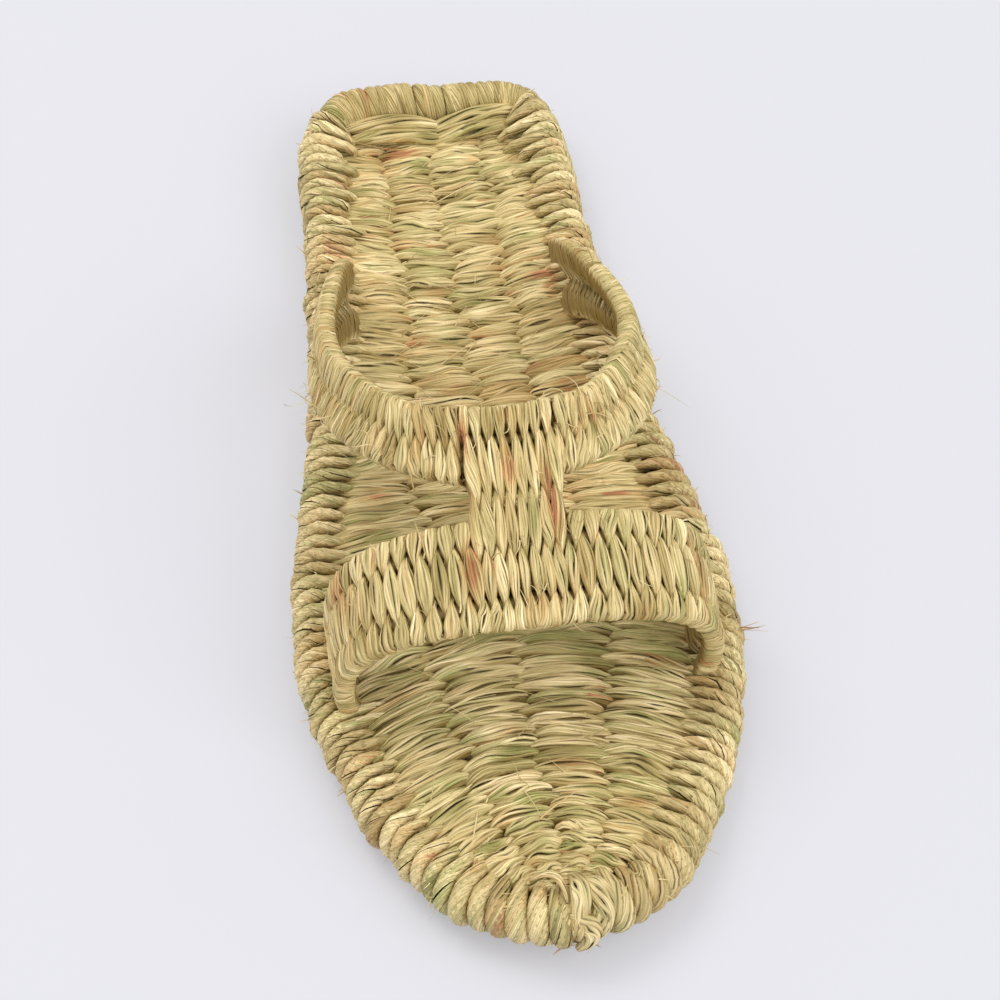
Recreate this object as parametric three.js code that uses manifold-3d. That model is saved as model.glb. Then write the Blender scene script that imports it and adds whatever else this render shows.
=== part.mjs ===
// A woven straw sandal: a plaited sole mat over lengthwise cords, a wrapped edge rope round it,
// a thicker wrapped roll behind the heel, and one plaited H-shaped upper whose ends sink into the mat.
// Millimetres, +Z up. The toe points toward -Y, the heel toward +Y, and z = 0 is the floor.
import * as THREE from "three";
import { mergeVertices } from "three/addons/utils/BufferGeometryUtils.js";
import Module from "manifold-3d";

const wasm = await Module();
wasm.setup();

// ---------------------------------------------------------------- driving dimensions

const SOLE = {
  matTop: 10.2, // mean height of the woven mat
  rowRelief: 0.75, // how far a straw bundle stands over the mat's mean height
  passes: 144, // weft passes from heel to toe
  toeSpring: 4, // lift of the toe tip off the floor
  springLength: 45, // length of the part of the toe that lifts
  rimGap: 0.5, // from the rope's inner side to the ends of the mat's rows
  tuck: 2.8, // how far the mat's side slopes out under the rope
};

const ROPE = {
  underside: 1, // clearance between the rope and the floor
  wrapDepth: 0.55, // depth of the groove between two wraps
  lean: 2.2, // how far a wrap's outer side leans toward the toe from its middle
  heelFade: 0.35, // share of each side's length, from the heel, over which the lean comes in
  tipFade: 0.06, // share of each side's length over which it goes out again at the toe's tip
};

const HEEL_ROLL = {
  width: 11.5, // across the roll, seen from above
  halfLength: 31, // half its length, measured along the sole's edge
  wraps: 25,
  wrapDepth: 0.5,
  taperStart: 0.6, // share of its half length where it starts to narrow to the rope
};

const GAP = 0.3; // between neighbouring pieces

const ROW_END_HALVINGS = 30; // steps of the search for where a row of the mat ends

const STRAP = {
  overhang: 3.7, // how far a strap's edge stands outside its edge cord
  shoulder: 1.3, // how far its full thickness reaches outside its edge cord
  halfThickness: 2.2, // half the wall over a cord, between the raised and the sunken bundles
  relief: 0.55, // half the height from a sunken to a raised bundle
  bedding: 5.5, // how deep the strap ends sink below the mat's mean height
};

const TOE_STRAP = {
  passes: 96,
  hip: 20, // height where the strap is widest
  squareness: 2.9, // exponent of the arch: 2 is an ellipse, more is squarer
  archSteps: 7, // points worked out along each half of the arch
  calfBulge: 0.6, // outward bow of the leg below the hip
  fan: 0.02, // how far the bundles' front ends spread, as a share of the strap's length
};

const INSTEP_STRAP = { passes: 156, fan: 0.052 };

const BRIDGE = {
  width: 22,
  wefts: 16,
  halfThickness: 1.3,
  reach: 0.2, // how far each end runs into its strap, as a share of the strap's width
  crown: 0.5, // drop of its sides below its middle
  edgeThinning: 0.5, // thickness left at its sides
};

// Half widths of the sole's outline, from the middle of the heel round to the tip of the toe.
const OUTLINE = [
  { y: 135, halfWidth: 0 },
  { y: 135, halfWidth: 12.5 },
  { y: 133.8, halfWidth: 22.5 },
  { y: 128.4, halfWidth: 30.8 },
  { y: 119.5, halfWidth: 35 },
  { y: 106, halfWidth: 36.5 },
  { y: 76, halfWidth: 38.3 },
  { y: 50, halfWidth: 40.5 },
  { y: 28, halfWidth: 42.8 },
  { y: 8, halfWidth: 46.4 },
  { y: -10, halfWidth: 50.1 },
  { y: -28, halfWidth: 53.6 },
  { y: -46, halfWidth: 54.6 },
  { y: -63, halfWidth: 52.8 },
  { y: -80, halfWidth: 48.4 },
  { y: -95, halfWidth: 43.6 },
  { y: -109, halfWidth: 36.9 },
  { y: -120.5, halfWidth: 29 },
  { y: -129.5, halfWidth: 18.5 },
  { y: -135.3, halfWidth: 0 },
];

// The edge rope along the foot: wide at the toe, low at the ball and raised round the heel.
const ROPE_SIZE = [
  { y: -135, top: 13.6, width: 13.5 },
  { y: -112, top: 13.4, width: 10.6 },
  { y: -60, top: 13.2, width: 10 },
  { y: 20, top: 13.6, width: 10 },
  { y: 75, top: 14.8, width: 10 },
  { y: 112, top: 17, width: 10 },
  { y: 135, top: 18, width: 10 },
];

// How the mat's rows bend where they cross the middle line at y: a point x to the side of it lies
// bend * x * x further toward the heel, so rows sag at the heel and arch over the toes.
const ROW_BEND = [
  { y: -118, bend: -0.035 },
  { y: -106, bend: -0.022 },
  { y: -95, bend: -0.0136 },
  { y: -79, bend: -0.0085 },
  { y: -64, bend: -0.0067 },
  { y: -12, bend: -0.002 },
  { y: 5, bend: 0.0007 },
  { y: 45, bend: 0.0045 },
  { y: 85, bend: 0.006 },
  { y: 122, bend: 0 },
];

// Corners of a rope's section, in half widths outward and half heights upward.
const ROPE_SECTION = [
  { outward: 1, upward: 0 },
  { outward: 0, upward: -1 },
  { outward: -1, upward: 0.3 },
  { outward: -0.7, upward: 0.78 },
  { outward: 0, upward: 1 },
  { outward: 0.7, upward: 0.72 },
];
const ROLL_SECTION = [
  { outward: 1, upward: 0 },
  { outward: 0.5, upward: -1 },
  { outward: -0.5, upward: -1 },
  { outward: -1, upward: 0.2 },
  { outward: -0.7, upward: 0.75 },
  { outward: 0, upward: 1 },
  { outward: 0.7, upward: 0.75 },
];

// Edge cords of the toe strap: over the toes at the apex, and where each stands on the mat.
const TOE_FRONT_CORD = { apexY: -67.9, apexZ: 46, footX: 40.6, footY: -61.8, side: 43.8 };
const TOE_BACK_CORD = { apexY: -50.3, apexZ: 54.5, footX: 40.6, footY: -44.8, side: 43.8 };

// Edge cords of the instep strap, from the middle of the foot out and back to the heel end.
const INSTEP_BACK_CORD = [
  { x: 0, y: -25, z: 63.7 },
  { x: 12, y: -22.5, z: 62.8 },
  { x: 19.5, y: -19, z: 60.8 },
  { x: 26, y: -12, z: 57.2 },
  { x: 31.2, y: -2, z: 52.2 },
  { x: 35, y: 8.5, z: 46.7 },
  { x: 37, y: 20.5, z: 40.8 },
  { x: 36.9, y: 33.5, z: 34.2 },
  { x: 34.6, y: 48.5, z: 26.8 },
  { x: 31, y: 63.5, z: 19 },
  { x: 28.2, y: 74.5, z: 11 },
  { x: 27.4, y: 78, z: 4.7 },
];
const INSTEP_FRONT_CORD = [
  { x: 0, y: -36, z: 58.5 },
  { x: 11, y: -34.5, z: 58.2 },
  { x: 19, y: -30.5, z: 57 },
  { x: 26, y: -24.5, z: 54.6 },
  { x: 31.6, y: -16, z: 50.6 },
  { x: 36, y: -5, z: 44.8 },
  { x: 38.8, y: 7.5, z: 38.2 },
  { x: 39.6, y: 20.5, z: 31 },
  { x: 38.6, y: 32.5, z: 24.8 },
  { x: 35, y: 43.5, z: 19.2 },
  { x: 29.8, y: 52, z: 13 },
  { x: 26.8, y: 56.5, z: 4.7 },
];

// ---------------------------------------------------------------- helpers

const { smoothstep, lerp, clamp } = THREE.MathUtils;

// Value of a table's column at y, eased between its rows, which go up in y.
function tableValue(rows, column, y) {
  const next = rows.findIndex((row) => row.y >= y);
  if (next <= 0) return next === 0 ? rows[0][column] : rows.at(-1)[column];
  const [a, b] = [rows[next - 1], rows[next]];
  return lerp(a[column], b[column], smoothstep(y, a.y, b.y));
}

// Lift of the underside off the floor: none under the heel and ball, rising toward the toe.
function toeLift(y) {
  const springStart = OUTLINE.at(-1).y + SOLE.springLength;
  const into = clamp((springStart - y) / SOLE.springLength, 0, 1);
  return SOLE.toeSpring * into * into;
}

// A closed body through rings of points: ringAt(station) returns the same number of points each
// time, anticlockwise seen against the direction of travel, and each end is closed by a fan.
// Of a quad's two diagonals the one that lies deeper is used, so that each raised bundle of the
// weave stands up as a diamond of its own.
function closedSweep(stationCount, ringAt) {
  const rings = Array.from({ length: stationCount }, (_, station) => ringAt(station));
  const sides = rings[0].length;
  const points = rings.flat();
  const index = [];
  for (let station = 0; station < stationCount - 1; station += 1) {
    for (let side = 0; side < sides; side += 1) {
      const a = station * sides + side;
      const b = station * sides + ((side + 1) % sides);
      const forward = points[b + sides].clone().sub(points[a]);
      const backward = points[a + sides].clone().sub(points[b]);
      const outward = new THREE.Vector3().crossVectors(forward, backward);
      const between = points[a].clone().add(points[b + sides]).sub(points[b]).sub(points[a + sides]);
      if (between.dot(outward) < 0) index.push(a, b, b + sides, a, b + sides, a + sides);
      else index.push(a, b, a + sides, b, b + sides, a + sides);
    }
  }
  for (const [ring, flip] of [[rings[0], true], [rings.at(-1), false]]) {
    const middle = new THREE.Vector3();
    ring.forEach((point) => middle.addScaledVector(point, 1 / sides));
    const first = flip ? 0 : (stationCount - 1) * sides;
    points.push(middle);
    for (let side = 0; side < sides; side += 1) {
      const a = first + side;
      const b = first + ((side + 1) % sides);
      if (flip) index.push(b, a, points.length - 1);
      else index.push(a, b, points.length - 1);
    }
  }
  const geometry = new THREE.BufferGeometry().setFromPoints(points);
  geometry.setIndex(index);
  return geometry;
}

function toSolid(geometry) {
  const merged = mergeVertices(geometry, 1e-4);
  return new wasm.Manifold(
    new wasm.Mesh({
      numProp: 3,
      vertProperties: merged.attributes.position.array,
      triVerts: new Uint32Array(merged.index.array),
    }),
  );
}

function toGeometry(solid) {
  const mesh = solid.getMesh();
  const geometry = new THREE.BufferGeometry();
  geometry.setAttribute("position", new THREE.BufferAttribute(mesh.vertProperties, 3));
  geometry.setIndex(new THREE.BufferAttribute(mesh.triVerts, 1));
  return geometry;
}

// A smooth curve through the rows of a half table and their mirror images, left to right.
function mirroredCurve(rows) {
  const right = rows.map(({ x, y, z }) => new THREE.Vector3(x, y, z));
  const left = right.slice(1).reverse().map((p) => new THREE.Vector3(-p.x, p.y, p.z));
  return new THREE.CatmullRomCurve3([...left, ...right], false, "centripetal");
}

// ---------------------------------------------------------------- the sole's edge

const outlineRight = OUTLINE.map(({ y, halfWidth }) => new THREE.Vector3(halfWidth, y, 0));
const outlineLeft = outlineRight.slice(1, -1).reverse().map((p) => new THREE.Vector3(-p.x, p.y, 0));
const outline = new THREE.CatmullRomCurve3([...outlineRight, ...outlineLeft], true, "centripetal");
const outlineLength = outline.getLength();

// The outline starts at the middle of the heel, so the toe's tip is half way round it.
const heelRollEnd = HEEL_ROLL.halfLength / outlineLength;

// A point of the sole's edge moved inward: along is 0 at the heel roll's end and 1 at the toe's
// tip, and side is 1 on the right and -1 on the left.
function edgePoint(along, inset, side) {
  const around = lerp(heelRollEnd, 0.5, along);
  return insetPoint(around, inset, side);
}

function insetPoint(around, inset, side) {
  const point = outline.getPointAt(Math.abs(around));
  const tangent = outline.getTangentAt(Math.abs(around));
  const mirror = around < 0 ? -side : side;
  return new THREE.Vector3(
    mirror * (point.x + tangent.y * inset),
    point.y - tangent.x * inset,
    0,
  );
}

// ---------------------------------------------------------------- sole pieces

// The rope beside a point of the sole's edge: its width and the height of its top.
function ropeAt(along) {
  const { y } = edgePoint(along, 0, 1);
  return { width: tableValue(ROPE_SIZE, "width", y), top: tableValue(ROPE_SIZE, "top", y) };
}

// The mat's outer edge beside a place along the sole's edge, as an inset from that edge.
function matInset(along) {
  return ropeAt(along).width + SOLE.rimGap;
}

// Where a row that crosses the middle line at middleY meets the mat's outer edge.
function rowEnd(middleY) {
  const bend = tableValue(ROW_BEND, "bend", middleY);
  let [heelward, toeward] = [0, 1];
  for (let halving = 0; halving < ROW_END_HALVINGS; halving += 1) {
    const along = (heelward + toeward) / 2;
    const rim = edgePoint(along, matInset(along), 1);
    if (rim.y > middleY + bend * rim.x * rim.x) heelward = along;
    else toeward = along;
  }
  return heelward;
}

// The mat: one ring per weft pass. Each ring runs over the four inner cords, where the bundle
// either stands up or dives, so neighbouring cords and neighbouring passes alternate. Its side is
// widest at the rope's belly and tucks in under the rope.
function matGeometry() {
  const heelY = edgePoint(0, matInset(0), 1).y;
  const toeY = edgePoint(1, matInset(1), 1).y;
  const cordPlaces = [0.75, 0.25, -0.25, -0.75];
  return closedSweep(SOLE.passes, (pass) => {
    const middleY = lerp(heelY, toeY, pass / SOLE.passes);
    const along = rowEnd(middleY);
    const inset = matInset(along);
    const rowPoint = (across, height, rowInset) => {
      const edge = edgePoint(along, rowInset, 1);
      const y = lerp(middleY, edge.y, across * across);
      return new THREE.Vector3(across * edge.x, y, height + toeLift(y));
    };
    const cordPoints = cordPlaces.map((place, cord) => {
      const raised = (cord + pass) % 2 === 0 ? 1 : -1;
      return rowPoint(place, SOLE.matTop + raised * SOLE.rowRelief, inset);
    });
    const rimHeight = SOLE.matTop - SOLE.rowRelief;
    return [
      rowPoint(1, 0, inset - SOLE.tuck),
      rowPoint(1, rimHeight, inset),
      ...cordPoints,
      rowPoint(-1, rimHeight, inset),
      rowPoint(-1, 0, inset - SOLE.tuck),
    ];
  });
}

// A ring round a rope, clockwise from its outer side as seen with the rope's tip coming nearer.
// section holds the corners in half widths and half heights, and pointAt finds the place of a
// corner from its inset and from how far outward it lies.
function ropeRing(section, pointAt, width, bottom, top, sunken) {
  return section.map(({ outward, upward }) => {
    const point = pointAt(width / 2 - (width / 2 - sunken) * outward, outward);
    const middle = (bottom + top) / 2;
    point.z = middle + ((top - bottom) / 2 - sunken) * upward + toeLift(point.y);
    return point;
  });
}

// The edge rope runs from the left end of the heel roll round the toe to its right end.
function edgeRopeGeometry() {
  const stations = 2 * SOLE.passes + 1;
  const leanAlong = ROPE.lean / (outlineLength / 2);
  const endGap = GAP / (outlineLength / 2);
  return closedSweep(stations, (station) => {
    const side = station <= SOLE.passes ? -1 : 1;
    const along = 1 - Math.abs(station - SOLE.passes) / SOLE.passes;
    const sunken = station % 2 === 0 ? 0 : ROPE.wrapDepth;
    const { width, top } = ropeAt(along);
    const fade = smoothstep(along, 0, ROPE.heelFade) * smoothstep(1 - along, 0, ROPE.tipFade);
    const pointAt = (inset, outward) =>
      edgePoint(Math.max(along + leanAlong * fade * outward, endGap), inset, side);
    return ropeRing(ROPE_SECTION, pointAt, width, ROPE.underside, top, sunken);
  });
}

// The roll behind the heel: fat wraps square to the edge, from corner to corner.
function heelRollGeometry() {
  const stations = 2 * HEEL_ROLL.wraps + 1;
  const reach = (HEEL_ROLL.halfLength - GAP) / outlineLength;
  return closedSweep(stations, (station) => {
    const around = lerp(-reach, reach, station / (stations - 1));
    const sunken = station % 2 === 0 ? HEEL_ROLL.wrapDepth : 0;
    const swell = 1 - smoothstep(Math.abs(around) / reach, HEEL_ROLL.taperStart, 1);
    const width = lerp(ropeAt(0).width, HEEL_ROLL.width, swell);
    const top = tableValue(ROPE_SIZE, "top", insetPoint(around, 0, 1).y);
    const pointAt = (inset) => insetPoint(around, inset, 1);
    return ropeRing(ROLL_SECTION, pointAt, width, ROPE.underside, top, sunken).reverse();
  });
}

// ---------------------------------------------------------------- upper

// An edge cord of the toe strap: a squarish arch over the toes whose legs lean in to the mat.
function toeCordCurve({ apexY, apexZ, footX, footY, side }) {
  const footZ = SOLE.matTop - STRAP.bedding;
  const { hip, squareness, archSteps, calfBulge } = TOE_STRAP;
  const rows = [];
  for (let step = 0; step <= archSteps; step += 1) {
    const angle = (step / archSteps) * (Math.PI / 2);
    rows.push({
      x: side * Math.sin(angle) ** (2 / squareness),
      z: hip + (apexZ - hip) * Math.cos(angle) ** (2 / squareness),
    });
  }
  rows.push({ x: (side + footX) / 2 + calfBulge, z: (hip + footZ) / 2 });
  rows.push({ x: footX, z: footZ });
  const rise = (z) => (z - footZ) / (apexZ - footZ);
  return mirroredCurve(rows.map(({ x, z }) => ({ x, y: lerp(footY, apexY, rise(z)), z })));
}

// The frame of a strap at a fraction of its length: its two edge cords and its directions. Bundles
// lie square to the strap, so their front ends spread outward on both sides of the middle.
function strapFrame(strap, fraction) {
  const frontFraction = clamp(fraction - strap.fan * Math.sin(2 * Math.PI * fraction), 0, 1);
  const front = strap.front.getPointAt(frontFraction);
  const back = strap.back.getPointAt(fraction);
  const across = back.clone().sub(front).normalize();
  const travel = strap.front.getTangentAt(frontFraction).add(strap.back.getTangentAt(fraction));
  const outward = new THREE.Vector3().crossVectors(travel, across).normalize();
  return { front, back, across, outward, travel: travel.normalize() };
}

// A strap's wall, woven over its cords, or its plain envelope when relief is 0. cords lists where
// each cord lies, 0 at the front edge and 1 at the back. margin thickens and lengthens it.
function strapGeometry(strap, stations, relief, margin) {
  return closedSweep(stations, (station) => {
    const frame = strapFrame(strap, station / (stations - 1));
    const stretch = station === 0 ? -margin : margin * Number(station === stations - 1);
    const place = (across, beyond, outward) =>
      frame.front
        .clone()
        .lerp(frame.back, across)
        .addScaledVector(frame.across, beyond)
        .addScaledVector(frame.outward, outward)
        .addScaledVector(frame.travel, stretch);
    const thickness = STRAP.halfThickness + margin;
    const edge = STRAP.overhang + margin;
    const shoulder = (across) => (across - 0.5) * 2 * STRAP.shoulder;
    const wall = (face) =>
      strap.cords.map((across, cord) => {
        const raised = (cord + station) % 2 === 0 ? relief : -relief;
        return place(across, shoulder(across), face * thickness + raised);
      });
    return [place(0, -edge, 0), ...wall(1), place(1, edge, 0), ...wall(-1).reverse()].reverse();
  });
}

const toeStrap = {
  front: toeCordCurve(TOE_FRONT_CORD),
  back: toeCordCurve(TOE_BACK_CORD),
  fan: TOE_STRAP.fan,
  cords: [0, 0.5, 1],
};
const instepStrap = {
  front: mirroredCurve(INSTEP_FRONT_CORD),
  back: mirroredCurve(INSTEP_BACK_CORD),
  fan: INSTEP_STRAP.fan,
  cords: [0, 1],
};

// The bridge: wefts running lengthwise from the toe strap to the instep strap.
function bridgeGeometry(relief, margin) {
  const stations = 2 * BRIDGE.wefts + 1;
  const toeMiddle = strapFrame(toeStrap, 0.5);
  const instepMiddle = strapFrame(instepStrap, 0.5);
  const start = toeMiddle.front.clone().lerp(toeMiddle.back, 1 - BRIDGE.reach);
  const end = instepMiddle.front.clone().lerp(instepMiddle.back, BRIDGE.reach);
  const outward = toeMiddle.outward.clone().add(instepMiddle.outward).normalize();
  return closedSweep(stations, (station) => {
    const sideways = lerp(-1, 1, station / (stations - 1));
    const drop = BRIDGE.crown * sideways * sideways;
    const place = (along, height) => {
      const point = start.clone().lerp(end, along).addScaledVector(outward, height - drop);
      point.x = sideways * (BRIDGE.width / 2 + margin);
      return point;
    };
    const ridge = station % 2 === 0 ? -relief : relief;
    const thinning = Math.abs(sideways) === 1 ? BRIDGE.edgeThinning : 1;
    const thickness = (BRIDGE.halfThickness + margin) * thinning;
    const outer = ridge + thickness;
    const inner = ridge - thickness;
    return [place(0, inner), place(1, inner), place(1, outer), place(0, outer)];
  });
}

function upperSolid(relief, margin, coarseness) {
  const toe = strapGeometry(toeStrap, TOE_STRAP.passes / coarseness + 1, relief, margin);
  const instep = strapGeometry(instepStrap, INSTEP_STRAP.passes / coarseness + 1, relief, margin);
  return toSolid(toe).add(toSolid(instep)).add(toSolid(bridgeGeometry(relief, margin)));
}

// ---------------------------------------------------------------- assembly

// The straps stand in pockets of the mat and press a dent in the rope beside them.
const upper = upperSolid(STRAP.relief, 0, 1);
const strapClearance = upperSolid(0, STRAP.relief + GAP, 2);
const mat = toSolid(matGeometry()).subtract(strapClearance);
const edgeRope = toSolid(edgeRopeGeometry()).subtract(strapClearance);
const heelRoll = toSolid(heelRollGeometry());

function strawMesh(name, solid, colour) {
  const material = new THREE.MeshStandardMaterial({ color: colour, roughness: 0.75, metalness: 0 });
  const mesh = new THREE.Mesh(toGeometry(solid), material);
  mesh.name = name;
  return mesh;
}

const sandal = new THREE.Group();
sandal.add(
  strawMesh("footbed_mat", mat, 0xbfae74),
  strawMesh("edge_rope", edgeRope, 0xc4b37c),
  strawMesh("heel_binding", heelRoll, 0xbba869),
  strawMesh("upper", upper, 0xcfc088),
);

export default sandal;
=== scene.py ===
"""A woven straw sandal: mat, edge rope, heel roll and H-shaped upper, laid straw by straw.

Every part is a bundle of straws carried along a path. The frame's solids give the places, and
each piece here is the same form with its straws laid out one by one.
"""

import bpy
import numpy as np
from mathutils import Matrix, Vector


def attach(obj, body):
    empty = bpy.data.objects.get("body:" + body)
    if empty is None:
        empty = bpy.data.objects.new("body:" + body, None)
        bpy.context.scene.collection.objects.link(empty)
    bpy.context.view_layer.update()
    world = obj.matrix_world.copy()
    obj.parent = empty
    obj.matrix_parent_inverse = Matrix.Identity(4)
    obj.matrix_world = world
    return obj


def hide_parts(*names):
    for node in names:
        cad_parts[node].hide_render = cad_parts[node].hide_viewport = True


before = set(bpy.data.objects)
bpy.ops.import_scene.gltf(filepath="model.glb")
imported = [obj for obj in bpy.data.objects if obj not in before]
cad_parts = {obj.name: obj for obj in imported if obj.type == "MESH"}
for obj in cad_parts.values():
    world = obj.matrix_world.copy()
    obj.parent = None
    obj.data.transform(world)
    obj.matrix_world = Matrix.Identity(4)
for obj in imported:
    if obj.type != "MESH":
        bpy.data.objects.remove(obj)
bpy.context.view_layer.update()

bl_info = {
    "name": "Straw Sandal",
    "version": (1, 0, 0),
    "blender": (4, 5, 0),
    "location": "View3D > Sidebar > Straw Sandal",
    "description": "Lays the straw of a plaited sandal round its frame",
    "category": "Add Mesh",
}

MM = 0.001

# ---- sizes of the form, millimetres

# Half widths of the sole's outline, (y, half width) from the middle of the heel to the toe's tip.
OUTLINE = (
    (135, 0), (135, 12.5), (133.8, 22.5), (128.4, 30.8), (119.5, 35), (106, 36.5), (76, 38.3),
    (50, 40.5), (28, 42.8), (8, 46.4), (-10, 50.1), (-28, 53.6), (-46, 54.6), (-63, 52.8),
    (-80, 48.4), (-95, 43.6), (-109, 36.9), (-120.5, 29), (-129.5, 18.5), (-135.3, 0),
)
# The edge rope along the foot: (y, height of its top, width).
ROPE_SIZE = (
    (-135, 13.6, 13.5), (-112, 13.4, 10.6), (-60, 13.2, 10), (20, 13.6, 10), (75, 14.8, 10),
    (112, 17, 10), (135, 18, 10),
)
# How the mat's rows bend where they cross the middle line: (y, rise toward the heel per mm squared).
ROW_BEND = (
    (-118, -0.035), (-106, -0.022), (-95, -0.0136), (-79, -0.0085), (-64, -0.0067), (-12, -0.002),
    (5, 0.0007), (45, 0.0045), (85, 0.006), (122, 0),
)
HEEL_ROLL_HALF = 31
HEEL_ROLL_WIDTH = 11.5
HEEL_ROLL_NARROW = 10
ROPE_UNDERSIDE = 1
MAT_ROWS = 144
MAT_THICKNESS = 10.95
RIM_GAP = 0.5
TOE_SPRING = 4
SPRING_LENGTH = 45
MAT_CORDS = (-0.75, -0.25, 0.25, 0.75)

# Edge cords of the toe strap: over the toes at the apex, and where each stands on the mat.
TOE_FRONT_CORD = {"apex_y": -67.9, "apex_z": 46, "foot_y": -61.8}
TOE_BACK_CORD = {"apex_y": -50.3, "apex_z": 54.5, "foot_y": -44.8}
TOE_CORD = {"foot_x": 40.6, "foot_z": 4.7, "side": 43.8, "hip": 20, "squareness": 2.9, "bulge": 0.6}
ARCH_STEPS = 7

# Edge cords of the instep strap, (x, y, z) from the middle of the foot out and back to the heel end.
INSTEP_BACK_CORD = (
    (0, -25, 63.7), (12, -22.5, 62.8), (19.5, -19, 60.8), (26, -12, 57.2), (31.2, -2, 52.2),
    (35, 8.5, 46.7), (37, 20.5, 40.8), (36.9, 33.5, 34.2), (34.6, 48.5, 26.8), (31, 63.5, 19),
    (28.2, 74.5, 11), (27.4, 78, 4.7),
)
INSTEP_FRONT_CORD = (
    (0, -36, 58.5), (11, -34.5, 58.2), (19, -30.5, 57), (26, -24.5, 54.6), (31.6, -16, 50.6),
    (36, -5, 44.8), (38.8, 7.5, 38.2), (39.6, 20.5, 31), (38.6, 32.5, 24.8), (35, 43.5, 19.2),
    (29.8, 52, 13), (26.8, 56.5, 4.7),
)
STRAP_OVERHANG = 3.7
STRAP_HALF_WALL = 2.75
BRIDGE_HALF_WIDTH = 11
WEFT_HALF_HEIGHT = 1.1
CORD_RADIUS = {"mat": 1.9, "strap": 0.6, "rope": 2.4, "heel": 3.4}
STRAW_FLATNESS = 0.26
# What a bundle's section leaves for the thickness of its straws.
STRAW_HALF = 0.2
WIDEST_WRAP = 5.4
# What the random numbers of each piece start from.
SEEDS = {
    "mat": 11, "rope": 23, "rope reach": 29, "heel": 31, "heel shadows": 37, "toe": 41, "instep": 47,
    "bridge": 59, "cords": 71, "fibres": 83,
}
# How hard a float is squared off, how thin a bundle is where it dives, and how fast it fills.
FLOAT_SQUARENESS = 2.1
FLOAT_THINNEST = 0.16
FLOAT_FILLING = 0.95
# How much the wave is lifted in the mat and in the straps.
MAT_BIAS = 0.6
WEFT_BIAS = 0.42


def float_shape(wave, bias):
    """Height and fullness of a bundle from the wave that takes it over and under the cords.

    bias lifts the wave, so what lies over a cord is longer than what lies under it. The height is
    the lifted wave squared off by tanh, and the bundle is thin where it dives and full elsewhere.
    """
    lifted = wave + bias
    lifted = np.where(lifted > 0, lifted / (1 + bias), lifted / (1 - bias))
    height = np.tanh(FLOAT_SQUARENESS * lifted) / np.tanh(FLOAT_SQUARENESS)
    return height, FLOAT_THINNEST + (1 - FLOAT_THINNEST) * np.abs(lifted) ** FLOAT_FILLING


# ---- numbers and curves

def unit(vectors):
    """Vectors scaled to length one along the last axis."""
    return vectors / np.maximum(np.linalg.norm(vectors, axis=-1, keepdims=True), 1e-9)


def dot(a, b):
    """Dot products along the last axis, which stays."""
    return np.sum(a * b, axis=-1, keepdims=True)


def square_to(forward, side):
    """What is left of side when its share along forward is taken out."""
    return side - forward * dot(side, forward)


def columns(*parts):
    """The parts side by side, as a new last axis."""
    return np.stack(np.broadcast_arrays(*parts), axis=-1)


def running(steps):
    """The sum of the steps so far along the last axis, from 0."""
    return np.insert(np.cumsum(steps, axis=-1), 0, 0, axis=-1)


def smooth(value, low, high):
    """0 below low, 1 above high, and 3t^2 - 2t^3 between."""
    t = np.clip((value - low) / (high - low), 0, 1)
    return t * t * (3 - 2 * t)


def eased_table(rows, column, y):
    """A table's column at y, eased between its rows by 3t^2 - 2t^3."""
    table = np.array(rows, float)
    after = np.clip(np.searchsorted(table[:, 0], y), 1, len(table) - 1)
    low, high = table[after - 1], table[after]
    t = smooth(y, low[..., 0], high[..., 0])
    return low[..., column] + (high[..., column] - low[..., column]) * t


def drift(rng, stations, knots, *shape):
    """Slow random series: normal numbers at evenly spaced knots, eased between them."""
    knots = max(int(knots), 2)
    values = rng.standard_normal(shape + (knots,))
    place = np.linspace(0, knots - 1, stations)
    left = np.minimum(place.astype(int), knots - 2)
    t = smooth(place - left, 0, 1)
    return values[..., left] * (1 - t) + values[..., left + 1] * t


def catmull_rom(points, closed, steps=24):
    """Centripetal Catmull-Rom curve: through every point, knots spaced by the root of each chord."""
    points = np.array(points, float)
    if closed:
        points = np.vstack([points[-1], points, points[:2]])
    else:
        points = np.vstack([2 * points[0] - points[1], points, 2 * points[-1] - points[-2]])
    p = [points[i:len(points) - 3 + i, None, :] for i in range(4)]
    gaps = [np.sqrt(np.linalg.norm(p[i + 1] - p[i], axis=-1, keepdims=True)) for i in range(3)]
    knots = np.cumsum([np.zeros_like(gaps[0]), *gaps], axis=0)
    at = knots[1] + (knots[2] - knots[1]) * (np.arange(steps) / steps)[None, :, None]

    def between(a, b, low, high):
        return ((high - at) * a + (at - low) * b) / (high - low)

    a1, a2, a3 = (between(p[i], p[i + 1], knots[i], knots[i + 1]) for i in range(3))
    b1 = between(a1, a2, knots[0], knots[2])
    b2 = between(a2, a3, knots[1], knots[3])
    curve = between(b1, b2, knots[1], knots[2]).reshape(-1, points.shape[1])
    return np.vstack([curve, points[-2]])


class Route:
    """A curve that is read by the share of its length."""

    def __init__(self, points, closed=False):
        self.points = catmull_rom(points, closed)
        self.reach = running(np.linalg.norm(np.diff(self.points, axis=0), axis=1))
        self.length = self.reach[-1]
        self.tangents = unit(np.gradient(self.points, self.reach, axis=0))

    def at(self, share, rows=None):
        """The curve's points, or other rows along it, at shares of its length."""
        at = np.asarray(share) * self.length
        rows = self.points if rows is None else rows
        return columns(*(np.interp(at, self.reach, column) for column in rows.T))

    def tangent(self, share):
        return unit(self.at(share, self.tangents))


def mirrored(rows):
    """The curve through a half table of (x, y, z) rows and its mirror image, left to right."""
    right = np.array(rows, float)
    return Route(np.vstack([right[:0:-1] * (-1, 1, 1), right]))


# ---- the sole's plan

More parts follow.
